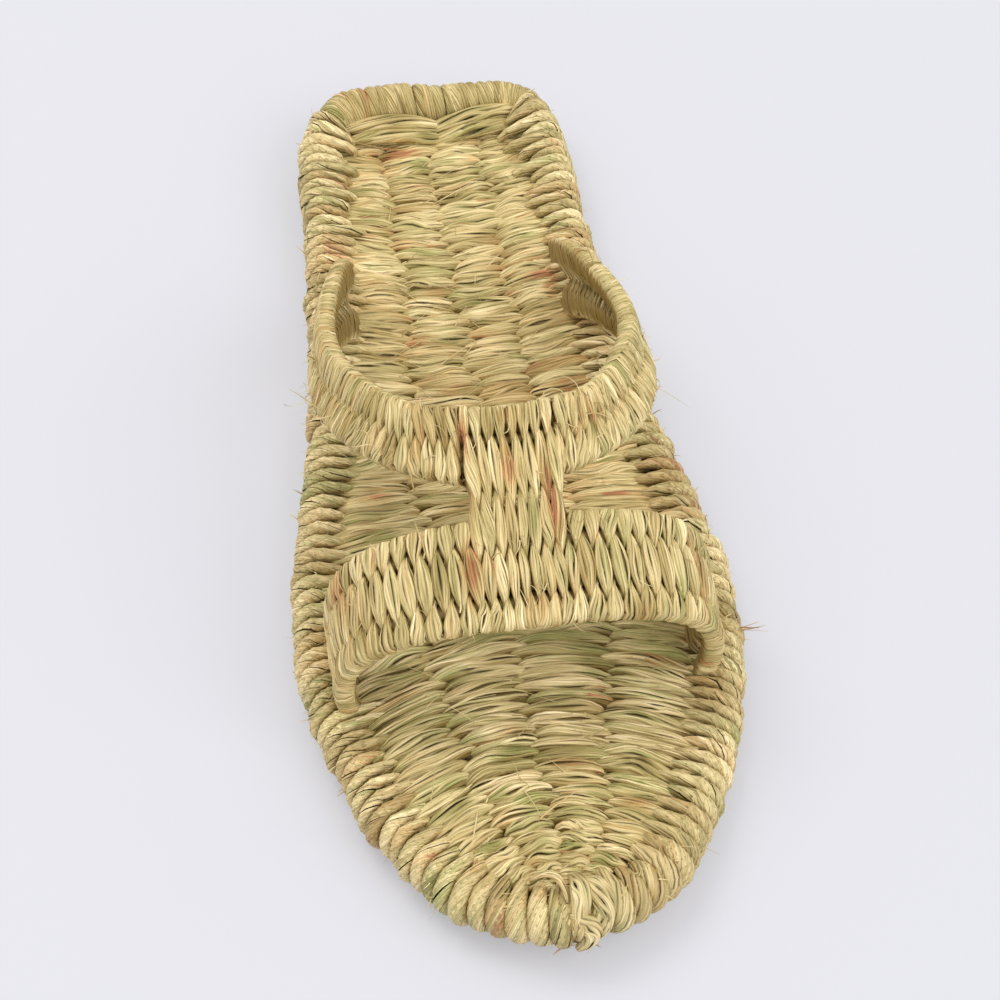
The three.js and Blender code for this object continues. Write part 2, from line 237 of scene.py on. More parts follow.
def sole_outline():
    """The outline all round, from the middle of the heel along the right edge and back."""
    right = [(width, y) for y, width in OUTLINE]
    left = [(-width, y) for y, width in OUTLINE[-2:0:-1]]
    return Route(right + left, closed=True)


OUTLINE_ROUTE = sole_outline()
ROLL_END = HEEL_ROLL_HALF / OUTLINE_ROUTE.length


def toe_lift(y):
    """Lift of the underside off the floor: the square of the way into the toe's spring."""
    start = OUTLINE[-1][0] + SPRING_LENGTH
    into = np.clip((start - y) / SPRING_LENGTH, 0, 1)
    return TOE_SPRING * into * into


def inset_point(around, inset):
    """A point of the sole's right edge moved inward; around is the share of the outline."""
    sign = np.where(around < 0, -1.0, 1.0)
    point = OUTLINE_ROUTE.at(np.abs(around))
    tangent = OUTLINE_ROUTE.tangent(np.abs(around))
    x = point[..., 0] + tangent[..., 1] * inset
    y = point[..., 1] - tangent[..., 0] * inset
    return columns(x * sign, y)


def edge_point(along, inset):
    """The same from the heel roll's end, along 0, to the toe's tip, along 1."""
    return inset_point(ROLL_END + (0.5 - ROLL_END) * along, inset)


def rope_size(along):
    """Height of the rope's top and its width at a place along the edge."""
    y = edge_point(along, 0)[..., 1]
    return eased_table(ROPE_SIZE, 1, y), eased_table(ROPE_SIZE, 2, y)


def wrap_height(top, thick=0.0, angle=0.0):
    """Height in a rope's upright ellipse, thick inside its surface: middle + half height sin(angle)."""
    return (ROPE_UNDERSIDE + top) / 2 + ((top - ROPE_UNDERSIDE) / 2 - thick) * np.sin(angle)


def standing(xy, z, sign=1.0):
    """Points over places in plan, lifted with the toe; sign -1 mirrors them to the left."""
    return columns(xy[..., 0] * sign, xy[..., 1], z + toe_lift(xy[..., 1]))


def row_plan():
    """Each row's middle y, its end point at the rope, and that end's place along the edge.

    A row follows y = middle + bend * x^2, and ends where the mat's outer edge meets it.
    """
    samples = 4001
    along = np.linspace(0, 1, samples)
    rim = edge_point(along, rope_size(along)[1] + RIM_GAP)
    middle = np.linspace(rim[0, 1], rim[-1, 1], MAT_ROWS + 1)
    bend = eased_table(ROW_BEND, 1, middle)
    beyond = rim[None, :, 1] - middle[:, None] - bend[:, None] * rim[None, :, 0] ** 2
    meets = np.argmax(beyond <= 1e-6, axis=1)
    return middle, rim[meets], along[meets]


# ---- straw meshes

# A straw's section: its two sides and the ridge along its middle.
SECTION = np.array([[1, -0.35], [0, 1], [-1, -0.35]])
# How far into the endless grain pattern a straw may start.
GRAIN_REACH = 400
# A stain takes to each straw by a share between these.
STAIN_TAKES = (0.7, 1.15)

# Where the straw is stained: (x, y, z), how far it reaches along each axis, and how strong it is.
STAINS = (
    ((-9, 114, 11), (7, 2.4, 4), 0.9),
    ((-5, 95, 12), (6, 2, 4), 0.3),
    ((-15.5, 131.5, 15), (1.6, 5, 5), 0.55),
    ((21, 52, 11), (9, 5, 5), 0.2),
    ((-30, 81, 14), (4, 3.5, 5), 0.55),
    ((24.8, 62.5, 12), (2.5, 5.5, 6), 0.6),
    ((-28, -110, 13), (3, 3, 6), 0.5),
    ((-19, -113, 13), (2, 4, 6), 0.5),
    ((-5, -122.5, 17), (2.5, 2, 3), 0.6),
    ((-12.6, -59, 52), (1.9, 6.5, 6), 1.1),
    ((8.2, -47, 57.6), (1.5, 8, 5), 0.8),
    ((-10.6, -29, 62.7), (1.4, 5.5, 4), 0.7),
    ((21.3, -25, 64), (1.6, 4, 5), 0.45),
    ((0.2, -24.5, 65), (2, 4, 5), 0.3),
    ((2.2, -64.4, 46), (5, 3, 5), 0.28),
    ((31, -16, 11), (13, 14, 5), 0.13),
    ((-30, -14, 11), (13, 12, 5), 0.08),
    ((-33, -60, 11), (9, 4, 4), 0.22),
    ((-28, -1, 11), (4, 2, 4), 0.5),
    ((-43, -52, 34), (5, 12, 12), 0.18),
    ((-36, -8, 42), (5, 10, 10), 0.18),
    ((0, -134, 6), (5, 3, 4), 0.40),
)


def stain(place):
    """How stained straw at a place is: a bell round each stain, e^(-d^2) of the distance in reaches."""
    total = np.zeros(place.shape[:-1])
    for middle, reach, amount in STAINS:
        total += amount * np.exp(-np.sum(((place - middle) / reach) ** 2, axis=-1))
    return total


class Straws:
    """Straws that become one mesh; what differs between them is drawn with a seed or a generator."""

    def __init__(self, seed):
        self.rng = np.random.default_rng(seed)
        self.batches = []

    def lay(self, centre, across, outward, half_width, state):
        """Adds flat straws: at each station of each centre line stands a low triangle, its two sides
        half_width away along across and its ridge a share of that up along outward.
        centre, across, outward and state are (straws, stations, 3), half_width (straws, stations).
        """
        straws = len(centre)
        length = running(np.linalg.norm(np.diff(centre, axis=1), axis=-1))
        handed = dot(np.cross(across, outward), np.gradient(centre, axis=1))
        flip = np.where(handed.mean(axis=1, keepdims=True) < 0, -1.0, 1.0)
        wide = (across * flip * half_width[..., None])[:, :, None, :]
        deep = (outward * half_width[..., None] * STRAW_FLATNESS)[:, :, None, :]
        rings = centre[:, :, None, :] + wide * SECTION[:, :1] + deep * SECTION[:, 1:]
        rings[..., 2] = np.maximum(rings[..., 2], 0)
        state = np.repeat(state[:, :, None, :], len(SECTION), axis=2)
        stained = stain(centre) * self.rng.uniform(*STAIN_TAKES, (straws, 1))
        state[..., 0] += stained[..., None]
        start = self.rng.uniform(0, GRAIN_REACH, (straws, 1, 2))
        grain = np.empty(rings.shape)
        grain[..., :2] = SECTION * half_width[..., None, None] + start[:, :, None]
        grain[..., 2] = length[..., None] + start[..., :1]
        self.batches.append((rings, state, grain))

    def piece(self, name, material, *nodes):
        """One mesh piece in metres, standing for the named nodes of the frame.

        A straw's two upper faces shade as one curve; its flat underside and its ends do not.
        """
        quads, caps, count = [], [], 0
        for rings, _, _ in self.batches:
            number = count + np.arange(rings[..., 0].size).reshape(rings.shape[:3])
            after = np.roll(number, -1, axis=2)
            body = [number[:, :-1], after[:, :-1], after[:, 1:], number[:, 1:]]
            quads.append(np.stack(body, axis=-1).reshape(-1, 4))
            caps += [number[:, 0, ::-1], number[:, -1]]
            count += number.size
        vertices, states, grains = (
            np.concatenate([part.reshape(-1, 3) for part in parts]) for parts in zip(*self.batches)
        )
        quads, caps = np.concatenate(quads), np.concatenate(caps)
        mesh = bpy.data.meshes.new(name)
        mesh.from_pydata(vertices * MM, [], quads.tolist() + caps.tolist())
        mesh.validate()
        curved = np.tile([True, True, False], len(quads) // 3)
        mesh.polygons.foreach_set("use_smooth", np.append(curved, np.zeros(len(caps), bool)))
        for attribute, rows in (("straw_state", states), ("straw_grain", grains)):
            data = mesh.attributes.new(attribute, "FLOAT_VECTOR", "POINT").data
            data.foreach_set("vector", rows.astype(np.float32).ravel())
        mesh.materials.append(material)
        piece = bpy.data.objects.new(name, mesh)
        bpy.context.scene.collection.objects.link(piece)
        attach(piece, "root")
        if nodes:
            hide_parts(*nodes)
        return piece


def lay_bundles(
    straws, path, side, width, height, phase, thickness, state, crease=0.7, creased=(0.0, 0.55)
):
    """Lays the straws of bundles that follow path.

    A bundle's section is an ellipse, width across and height deep from its middle, and phase says
    where each straw lies round it, 0 on top: middle + side width sin(phase) + up height cos(phase).
    side is made square to the path, and up is square to both. path and side are (bundles, stations,
    3), width and height (bundles, stations), phase and thickness (bundles, straws, stations), and
    state has one more axis. Straws toward the bundle's sides lie in the creases, where painted shade
    darkens them: their depth is at least crease where cos(phase) is at the low end of creased, and
    clear of it at the high end.
    """
    forward = unit(np.gradient(path, axis=1))
    side = unit(square_to(forward, side))
    up = np.cross(forward, side)
    sine, cosine = np.sin(phase)[..., None], np.cos(phase)[..., None]
    wide, tall = width[:, None, :, None], height[:, None, :, None]
    side, up = side[:, None], up[:, None]
    centre = path[:, None] + side * wide * sine + up * tall * cosine
    across = unit(side * wide * cosine - up * tall * sine)
    outward = unit(side * tall * sine + up * wide * cosine)
    low, high = creased
    # Painted shade: straws toward a bundle's sides are darker, as in its creases.
    crease_shade = np.clip((high - np.abs(np.cos(phase))) / (high - low), 0, 1) * crease
    state = state.copy()
    state[..., 1] = np.maximum(state[..., 1], crease_shade)
    shape = (-1,) + centre.shape[2:]
    straws.lay(
        centre.reshape(shape), across.reshape(shape), outward.reshape(shape),
        thickness.reshape(shape[:2]), state.reshape(shape),
    )


# How much tint and shade vary from bundle to bundle, and from straw to straw.
TINT_VARIES = (0.11, 0.08)
SHADE_VARIES = (0.12, 0.10)
SHADE_RANGE = (0.5, 1.4)
# A straw is odd where its series passes the first, and the second is how fast it then browns.
ODD_FROM = 1.9
ODD_TINT = 0.8


def straw_state(rng, bundles, count, stations, changes, depth, spread=1.0, tint=0.48):
    """Tint, depth and shade of each straw along its length, as the last axis.

    Tint is 0 green, 0.5 pale and 1 brown; depth is 0 at the surface and 1 deep in the weave, and
    paints the straw toward the hollow colour, painted shade with some dirt; shade multiplies the
    brightness. Tint and shade belong in part to the bundle and in part to the straw, and now and then
    a straw is odd.
    """
    def series(straws):
        return drift(rng, stations, changes, bundles, straws)

    tint = tint + (TINT_VARIES[0] * series(1) + TINT_VARIES[1] * series(count)) * spread
    tint = tint + ODD_TINT * np.maximum(series(count) - ODD_FROM, 0)
    shade = 1 + SHADE_VARIES[0] * series(1) * spread + SHADE_VARIES[1] * series(count)
    return columns(np.clip(tint, 0, 1), depth, np.clip(shade, *SHADE_RANGE))


# How each kind of bundle varies along its path, in its width, place and twist, and in how far each
# straw strays round it and how thick each is: by how much, and how often in a turn or pass. The
# last number is how often its straws' state changes.
VARIES = {
    "spindle": ((0, 0), (0, 0), (0, 0), (0.2, 6), (0.2, 6), 5),
    "rope": ((0.08, 2), (0, 0), (-0.5, 1), (0.12, 3), (0.18, 4), 1),
    "heel": ((1 / 6, 2), (0.34, 2), (1.9, 1), (0, 0), (0.15, 4), 3),
    "strap": ((0.10, 3), (0.08, 4), (0.7, 2), (0.13, 4), (0.18, 5), 2),
    "bridge": ((0.10, 6), (0.08, 8), (0.7, 5), (0.13, 10), (0.18, 12), 5),
}


def lay_bundle(
    straws, kind, turns, path, side, width, height, straw, twist, count, depth, spread=1.0,
    shade=1.0, **creases
):
    """Lays one bundle: count straws, evenly round it, all turned by twist along the path.

    Each is straw[0] + straw[1] width thick, and the bundle varies as its kind does. depth and
    spread are those of straw_state, and shade multiplies the brightness.
    """
    stations = len(path)
    *varies, changes = VARIES[kind]
    swell, shift, turned, stray, uneven = (
        amount * drift(straws.rng, stations, turns * often, *shape) if often else np.zeros(stations)
        for (amount, often), shape in zip(varies, ((), (), (), (count,), (count,)))
    )
    width = width * (1 + swell)
    path = path + side * shift[:, None]
    phase = 2 * np.pi * np.arange(count)[:, None] / count + twist + turned + stray
    thick = (straw[0] + straw[1] * width) * (1 + uneven)
    state = straw_state(straws.rng, 1, count, stations, turns * changes, depth, spread)
    state[..., 2] *= shade
    lay_bundles(
        straws, path[None], side[None], width[None], height[None], phase[None], thick[None], state,
        **creases,
    )


# ---- settings

def colour_setting(name, description, default):
    """A colour that the panel shows."""
    return bpy.props.FloatVectorProperty(
        name=name, description=description, subtype="COLOR", size=4, min=0, max=1, default=default
    )


class STRAW_PG_colours(bpy.types.PropertyGroup):
    """Colours of the straw, shared by every piece."""

    green: colour_setting("Green", "Straw cut young", (0.52, 0.50, 0.17, 1))
    pale: colour_setting("Pale", "Most of the straw", (0.90, 0.735, 0.37, 1))
    tan: colour_setting("Tan", "Older straw", (0.72, 0.50, 0.20, 1))
    brown: colour_setting("Brown", "Stained straw", (0.60, 0.26, 0.11, 1))
    # Hollow is painted shade with some dirt, that straw deep in the weave turns to.
    hollow_shade_and_dirt: colour_setting("Hollow_shade_and_dirt", "Straw deep in the weave", (0.27, 0.17, 0.03, 1))
    floor: colour_setting("Floor", "The table top", (0.652, 0.659, 0.710, 1))


def count_setting(name, description, default, low, high):
    """A whole number that the panel shows."""
    return bpy.props.IntProperty(name=name, description=description, default=default, min=low, max=high)


class STRAW_PG_sizes(bpy.types.PropertyGroup):
    """Sizes of the straw bundles."""

    mat_straws: count_setting("Mat straws", "Straws in a bundle of the mat", 9, 3, 12)
    rope_straws: count_setting("Rope straws", "Straws in a wrap of the edge rope", 13, 4, 16)
    strap_straws: count_setting("Strap straws", "Straws in a bundle of the straps", 12, 4, 16)
    mat_overlap: bpy.props.FloatProperty(
        name="Mat overlap", description="Bundle width against row pitch", default=1.42, min=0.8, max=1.8
    )
    toe_passes: count_setting(
        "Toe strap passes", "Weft passes on each side of the toe strap", 38, 10, 80
    )
    instep_passes: count_setting(
        "Instep strap passes", "Weft passes on each side of the instep strap", 96, 20, 140
    )
    bridge_passes: count_setting("Bridge passes", "Weft passes across the bridge", 16, 8, 40)


# ---- material

STRAW_COLOURS = ("Green", "Pale", "Tan", "Brown", "Hollow_shade_and_dirt")
# How the grain is stretched along a straw, for its fibres and for its blotches.
FIBRE_STRETCH = (2.4, 2.4, 0.08)
BLOTCH_STRETCH = (0.6, 0.6, 0.11)
PATCH_SCALE = 34.0
# Between which tints each colour takes over from the one before.
TO_PALE = (0.08, 0.40)
TO_TAN = (0.5, 0.78)
TO_BROWN = (0.82, 1.0)
# The middle of a noise, the part of it that counts, and how much that darkens and brightens.
MIDDLE = 0.5
BUSY = (0.3, 0.7)
STREAKS = (0.52, 1.36)
BLOTCHES = (0.80, 1.18)
# How much the blotches shift the tint.
BLOTCH_TINT = 0.5
# Blue falls off faster than red as straw darkens.
DARKENING = (0.95, 1.0, 1.5)
DEPTH_POWER = 1.3


def fill(node, sockets):
    """Puts a value, or another node's output, in each named socket of a node."""
    for name, value in sockets.items():
        if isinstance(value, bpy.types.NodeSocket):
            node.id_data.links.new(value, node.inputs[name])
        else:
            node.inputs[name].default_value = value
    return node


def put(tree, kind, sockets, **settings):
    """A new shader node with its settings and sockets."""
    node = tree.nodes.new("ShaderNode" + kind)
    for name, value in settings.items():
        setattr(node, name, value)
    return fill(node, sockets)


def straw_group():
    """Node group: straw colour and grain from a piece's state and grain attributes.

    Tint runs through green, pale, tan and brown. Brightness is the product of streaks, blotches,
    the straw's shade and the material's own, and deep straw turns to the hollow colour, a painted
    shade with some dirt.
    """
    group = bpy.data.node_groups.new("straw_look", "ShaderNodeTree")
    for name, default in (("Patches", 0.5), ("Brightness", 1.0)):
        socket = group.interface.new_socket(name=name, in_out="INPUT", socket_type="NodeSocketFloat")
        socket.default_value = default
    for name in STRAW_COLOURS:
        group.interface.new_socket(name=name, in_out="INPUT", socket_type="NodeSocketColor")
    group.interface.new_socket(name="Colour", in_out="OUTPUT", socket_type="NodeSocketColor")
    group.interface.new_socket(name="Grain", in_out="OUTPUT", socket_type="NodeSocketFloat")
    given = group.nodes.new("NodeGroupInput").outputs

    def maths(operation, a, b, clamp=False):
        return put(group, "Math", {0: a, 1: b}, operation=operation, use_clamp=clamp).outputs[0]

    def mixed(factor, a, b, blend="MIX"):
        sockets = {0: factor, 6: a, 7: b}
        return put(group, "Mix", sockets, data_type="RGBA", blend_type=blend).outputs[2]

    def noise(vector, scale, roughness=0.5):
        sockets = {"Vector": vector, "Scale": scale, "Detail": 2.0, "Roughness": roughness}
        return put(group, "TexNoise", sockets).outputs["Fac"]

    def spread(value, between, to=(0.0, 1.0)):
        ends = zip(("From Min", "From Max", "To Min", "To Max"), between + to)
        return put(group, "MapRange", {"Value": value, **dict(ends)}).outputs["Result"]

    def attribute(name):
        return put(group, "Attribute", {}, attribute_name=name).outputs["Vector"]

    def stretched(vector, factors):
        return put(group, "VectorMath", {0: vector, 1: factors}, operation="MULTIPLY").outputs[0]

    grain = attribute("straw_grain")
    fibres = noise(stretched(grain, FIBRE_STRETCH), 1.0, 0.7)
    blotches = noise(stretched(grain, BLOTCH_STRETCH), 1.0)
    patches = noise(put(group, "TexCoord", {}).outputs["Object"], PATCH_SCALE, 0.55)
    state = put(group, "SeparateXYZ", {0: attribute("straw_state")}).outputs

    shift = maths("MULTIPLY", maths("SUBTRACT", patches, MIDDLE), given["Patches"])
    tint = maths("ADD", state["X"], shift)
    shift = maths("MULTIPLY", maths("SUBTRACT", blotches, MIDDLE), BLOTCH_TINT)
    tint = maths("ADD", tint, shift, clamp=True)
    colour = mixed(spread(tint, TO_PALE), given["Green"], given["Pale"])
    colour = mixed(spread(tint, TO_TAN), colour, given["Tan"])
    colour = mixed(spread(tint, TO_BROWN), colour, given["Brown"])

    bright = maths("MULTIPLY", spread(fibres, BUSY, STREAKS), spread(blotches, BUSY, BLOTCHES))
    bright = maths("MULTIPLY", bright, state["Z"])
    bright = maths("MULTIPLY", bright, given["Brightness"])
    powers = {i: maths("POWER", bright, power) for i, power in enumerate(DARKENING)}
    colour = mixed(1.0, colour, put(group, "CombineColor", powers).outputs[0], "MULTIPLY")
    # Deep straw is mixed toward the hollow colour: painted shade with some dirt.
    depth = maths("POWER", state["Y"], DEPTH_POWER, clamp=True)
    colour = mixed(depth, colour, given["Hollow_shade_and_dirt"])
    fill(group.nodes.new("NodeGroupOutput"), {"Colour": colour, "Grain": fibres})
    return group


def straw_material(name, patches, brightness, gloss=0.5, hollow_shade_and_dirt=1.0):
    """Straw: the shared look, a matte surface with a faint waxy gloss and a fibrous bump.

    patches is how much the tint wanders over the piece, and the last how bright the deep straw's
    hollow colour is, its painted shade and dirt.
    """
    colours = bpy.context.scene.straw_colours
    material = bpy.data.materials.new(name)
    material.use_nodes = True
    tree = material.node_tree
    look = tree.nodes.new("ShaderNodeGroup")
    look.node_tree = bpy.data.node_groups.get("straw_look") or straw_group()
    fill(look, {"Patches": patches, "Brightness": brightness})
    fill(look, {socket: getattr(colours, socket.lower()) for socket in STRAW_COLOURS})
    fill(look, {"Hollow_shade_and_dirt": [part * hollow_shade_and_dirt for part in colours.hollow_shade_and_dirt[:3]] + [1.0]})
    bump = put(tree, "Bump", {"Strength": 0.5, "Distance": 0.0004, "Height": look.outputs["Grain"]})
    fill(tree.nodes["Principled BSDF"], {
        "Base Color": look.outputs["Colour"], "Normal": bump.outputs["Normal"],
        "Roughness": 0.55, "Specular IOR Level": gloss,
    })
    return material


# ---- the mat

MAT_STATIONS = 38
# Rows run past the rim and into the rope, as a multiple of their half length.
ROW_REACH = 1.05
# The rows that the lengthwise cords pass through, and those that loose fibres may leave.
CORD_ROWS = np.arange(2, MAT_ROWS - 4, 4)
FIBRE_ROWS = (2, MAT_ROWS - 6)
# Where the mat's two pieces meet, and how far round its top a row's straws are fanned.
MAT_SPLIT = -20
MAT_FAN = 1.38
# How many bands of rows wander together, how far their dives do, and how far each row's do on its
# own where the weave is tight, and beyond that where it is loose.
ROW_BANDS = 6
BAND_WANDER = 0.055
ROW_WANDER = (0.02, 0.02)
# How the rows vary, by how much and how often along a row: in width, along the foot and in height,
# then in how their straws turn together, how far each strays and how thick each is.
ROW_WIDTHS = (0.2, 9)
ROW_SHIFTS = (0.11, 9)
ROW_LIFTS = (0.18, 9)
ROW_TWISTS = (0.28, 8)
STRAW_STRAYS = (0.15, 12)
STRAW_SIZES = (0.17, 10)
# Half the depth of a row's bundle, and what it keeps clear of the mat's two faces.
MAT_PILLOW = 1.3
MAT_CLEARANCE = 0.3
# Half width of the mat's straws: on its own, against their bundle's, and less of that when loose.
MAT_STRAW = (0.13, 0.215, 0.03)
# Their tint at the heel and how much greener they are at the toes, their brightness, how much
# brighter they are when loose and darker at the tip, and how dark the painted shade in their creases
# is, tight and loose.
MAT_TINT = (0.49, 0.13)
MAT_SHADE = (0.95, 0.06, 0.08)
MAT_CREASE = (0.58, 0.27)
# How far below the top the straw is as dark as it gets, in painted shade with some dirt.
MAT_DARK = 5
# The lining under each row: half its depth, and its half width against the pitch between rows.
LINING_DEPTH = 0.05
LINING_WIDTH = 1.3


def looseness(y):
    """How loose the weave is: 0 at the heel and the middle, 1 at the toes."""
    return smooth(-y, 0, 70)


def mat_rows(rng):
    """Paths of the mat's rows.

    A row's place across is a, from -1 to 1. It runs over and under the four inner cords as a
    squared-off sine of 2 pi a, odd rows the other way up, and follows its parabola in plan. Where
    it dives wanders over a few rows together, and a little from row to row, more so at the toes.
    """
    middle, ends, _ = row_plan()
    middle, ends = middle[:-1, None], ends[:-1]
    a = np.linspace(-ROW_REACH, ROW_REACH, MAT_STATIONS)[None, :]
    parity = np.where(np.arange(MAT_ROWS) % 2 == 0, -1.0, 1.0)[:, None]
    x = ends[:, :1] * a
    y = middle + (ends[:, 1:] - middle) * a * a
    into_band = np.linspace(0, ROW_BANDS - 1, MAT_STATIONS) - np.arange(ROW_BANDS)[:, None]
    hats = np.clip(1 - np.abs(into_band), 0, 1)
    tight, loose = ROW_WANDER
    wander = BAND_WANDER * drift(rng, MAT_ROWS, MAT_ROWS // 4, ROW_BANDS).T @ hats
    wander = wander + (tight + loose * looseness(y)) * drift(rng, MAT_STATIONS, 6, MAT_ROWS)
    return x, y, parity * np.sin(2 * np.pi * (a + 1 + wander))


def build_mat():
    """The rows, in two pieces, each over a flat straw in painted shade that closes the gaps beneath it.

    A row's straws are fanned over its top, and it is as wide as the pitch between rows times the
    overlap, the fullness of its wave and a slow swell. Toward the toes the straws thin and green.
    """
    sizes = bpy.context.scene.straw_sizes
    rng = np.random.default_rng(SEEDS["mat"])
    x, y, wave = mat_rows(rng)
    rows, stations = x.shape
    over, full = float_shape(wave, MAT_BIAS)
    half = MAT_THICKNESS / 2
    z = half + (half - MAT_PILLOW - MAT_CLEARANCE) * over + toe_lift(y)
    plan = columns(x, y)
    step = np.gradient(plan, axis=0)
    forward = unit(np.gradient(plan, axis=1))
    pitch = np.abs(step[..., 0] * forward[..., 1] - step[..., 1] * forward[..., 0])

    def varied(amount, often, *straws):
        return amount * drift(rng, stations, often, rows, *straws)

    width = pitch * sizes.mat_overlap * full * (1 + varied(*ROW_WIDTHS))
    y = y + varied(*ROW_SHIFTS)
    z = z + varied(*ROW_LIFTS)
    path = columns(x, y, z)
    side = columns(-forward[..., 1], forward[..., 0], 0.0)
    height = MAT_PILLOW * np.clip(over * 1.6, -1, 1)
    count = sizes.mat_straws
    fan = np.linspace(-MAT_FAN, MAT_FAN, count)[None, :, None]
    most, often = ROW_TWISTS
    twist = rng.normal(0, most, (rows, 1, 1)) * np.sin(np.pi * np.linspace(0, often, stations))
    phase = fan + twist + varied(*STRAW_STRAYS, count)
    loose = looseness(y)
    own, of_bundle, less = MAT_STRAW
    thick = (own + (of_bundle - less * loose) * width)[:, None, :]
    thick = thick * (1 + varied(*STRAW_SIZES, count))
    # Straw lower in the mat turns toward the hollow colour: painted shade with some dirt.
    below_top = MAT_THICKNESS + toe_lift(y) - MAT_PILLOW - z - height
    depth = np.clip(below_top / MAT_DARK, 0, 1)[:, None, :]
    tint = MAT_TINT[0] - MAT_TINT[1] * smooth(-y, 10, 90)[:, None, :]
    state = straw_state(rng, rows, count, stations, 8, depth, 1.35, tint)
    shade, brighter, darker = MAT_SHADE
    state[..., 2] *= (shade + brighter * loose - darker * smooth(-y, 90, 118))[:, None]
    # The lining is almost all hollow colour: painted shade in the gaps between rows.
    lining = straw_state(rng, rows, 1, stations, 8, 0.95)
    low = np.full_like(height, LINING_DEPTH)
    crease = MAT_CREASE[0] + MAT_CREASE[1] * loose[:, None]
    material = straw_material("straw_mat", 0.5, 0.92)
    front = plan[:, 0, 1] < MAT_SPLIT
    for name, part in (("mat_forefoot", front), ("mat_heel", ~front)):
        straws = Straws(rng)
        lay_bundles(
            straws, path[part], side[part], width[part], height[part], phase[part], thick[part],
            state[part], crease[part], (0.5, 0.92),
        )
        lay_bundles(
            straws, path[part], side[part], low[part], low[part], phase[part, :1] * 0,
            pitch[part, None] * LINING_WIDTH, lining[part],
        )
        piece = straws.piece(name, material, "footbed_mat")


# ---- the edge rope and heel roll

# Stations round one wrap of the rope or the heel roll.
WRAP_STATIONS = 20
# Half the thickness of the edge rope's wraps and of the heel roll's, and how much it varies.
ROPE_WRAP = (2.1, 0.12)
HEEL_WRAP = (1.45, 0.1)
# The rope's wraps fill out between these shares of the edge, and are thicker by this at the tip.
TIP_FROM = (0.82, 0.95)
TIP_THICKER = 0.5
# How far a wrap tucks into the mat: all round its inner half, beyond that above the middle, and
# how much the latter varies from turn to turn. Then how far some wraps stand out, and wander.
TUCK = (1.5, 3.9, 1.9)
STAND_OUT = 0.5
ROPE_WOBBLE = 0.125
# How much a wrap narrows on its inner half: at the heel, more from the waist on, less at the tip.
PINCH = (0.22, 0.33, 0.27)
# Turns of a wrap's straws in one turn of the rope, and how many fewer at the tip.
ROPE_TWIST = (2.0, 0.9)
HEEL_TWIST = 1.1
# Each side's piece and sign, its turns past the tip, how far a wrap leans toward the toe in going
# over the top, and the share of that lean it keeps on its outer half.
ROPE_SIDES = (
    ("edge_rope_right", 1.0, 1.0, 2.5, 0.15),
    ("edge_rope_left", -1.0, 0.5, 1.4, 0.5),
)
HEEL_TURNS = 25
# How much fatter and higher the left half of the heel roll is.
HEEL_BULK = (1.7, 0.9)

# Short bundles laid over the weave, each (x, y, z) of start, middle and end, then its half width.
HEEL_BUNDLES = (
    ((-25, 124, 10.5), (-9, 122.2, 14.4), (7, 121, 9.5), 2.2),
    ((-24, 120.8, 9.5), (-9, 119, 12.4), (6, 117.8, 9), 2.2),
    ((-3, 121, 9.5), (14, 122.2, 14.4), (29, 124.2, 10.5), 2.2),
    ((-2, 117.8, 9), (14, 119, 12.2), (28, 120.6, 9.5), 2.2),
)
TIP_BUNDLES = (
    ((-8, -120.5, 15.5), (-2.4, -121.4, 18.0), (-0.4, -128, 16.4), 0.9),
    ((1.6, -119.5, 14.5), (3.0, -126.5, 17.2), (0.2, -133.8, 12.0), 2.4),
    ((5.2, -121.5, 15.2), (7.6, -127.4, 16.8), (8.2, -132.4, 10.5), 2.6),
    ((-0.4, -130.6, 15.4), (4.4, -133.2, 12.2), (1.0, -134.8, 7.4), 2.4),
)


def wrap_plan():
    """Place along the edge of each wrap of the rope, from the roll's end to past the tip.

    A wrap goes with every two rows of the mat. The steps between wraps are evened out over five
    and kept below WIDEST_WRAP; what that leaves over before the tip is shared out as more wraps.
    """
    half_length = OUTLINE_ROUTE.length * (0.5 - ROLL_END)
    _, _, row_along = row_plan()
    steps = np.diff(row_along[::2])
    steps = np.convolve(np.pad(steps, 2, mode="edge"), np.full(5, 1 / 5), mode="valid")
    steps = np.minimum(steps, WIDEST_WRAP / half_length)
    more = int(np.ceil((1 - steps.sum()) / steps[-1]))
    steps = np.append(steps, np.full(more, steps[-1]))
    steps = steps / steps.sum()
    past_tip = steps[:-3:-1]
    return len(steps), running(np.append(steps, past_tip)), half_length


def lay_spindles(straws, bundles, count=13):
    """Each runs through its three places as a parabola, and is a spindle: full in its middle.

    Its fullness is thin + (1 - thin) sin(pi share)^0.8.
    """
    thin = 0.35
    stations = 22
    share = np.linspace(0, 1, stations)[:, None]
    for *places, half_width in bundles:
        start, middle, end = np.array(places, float)
        path = start * (1 - share) ** 2 + end * share**2
        path = path + (4 * middle - start - end) * share * (1 - share)
        full = thin + (1 - thin) * np.sin(np.pi * share[:, 0]) ** 0.8
        side = np.tile(np.cross(unit(end - start), (0.0, -0.4, 1.0)), (stations, 1))
        lay_bundle(
            straws, "spindle", 1, path, side, half_width * full, 0.8 * half_width * full,
            (0, 0.36), 2.2 * share[:, 0], count, 0.0,
        )


def underneath(angle):
    """Depth of the straw on the underside, where little light reaches it."""
    return smooth(-np.sin(angle), 0.2, 1.0) * 0.35


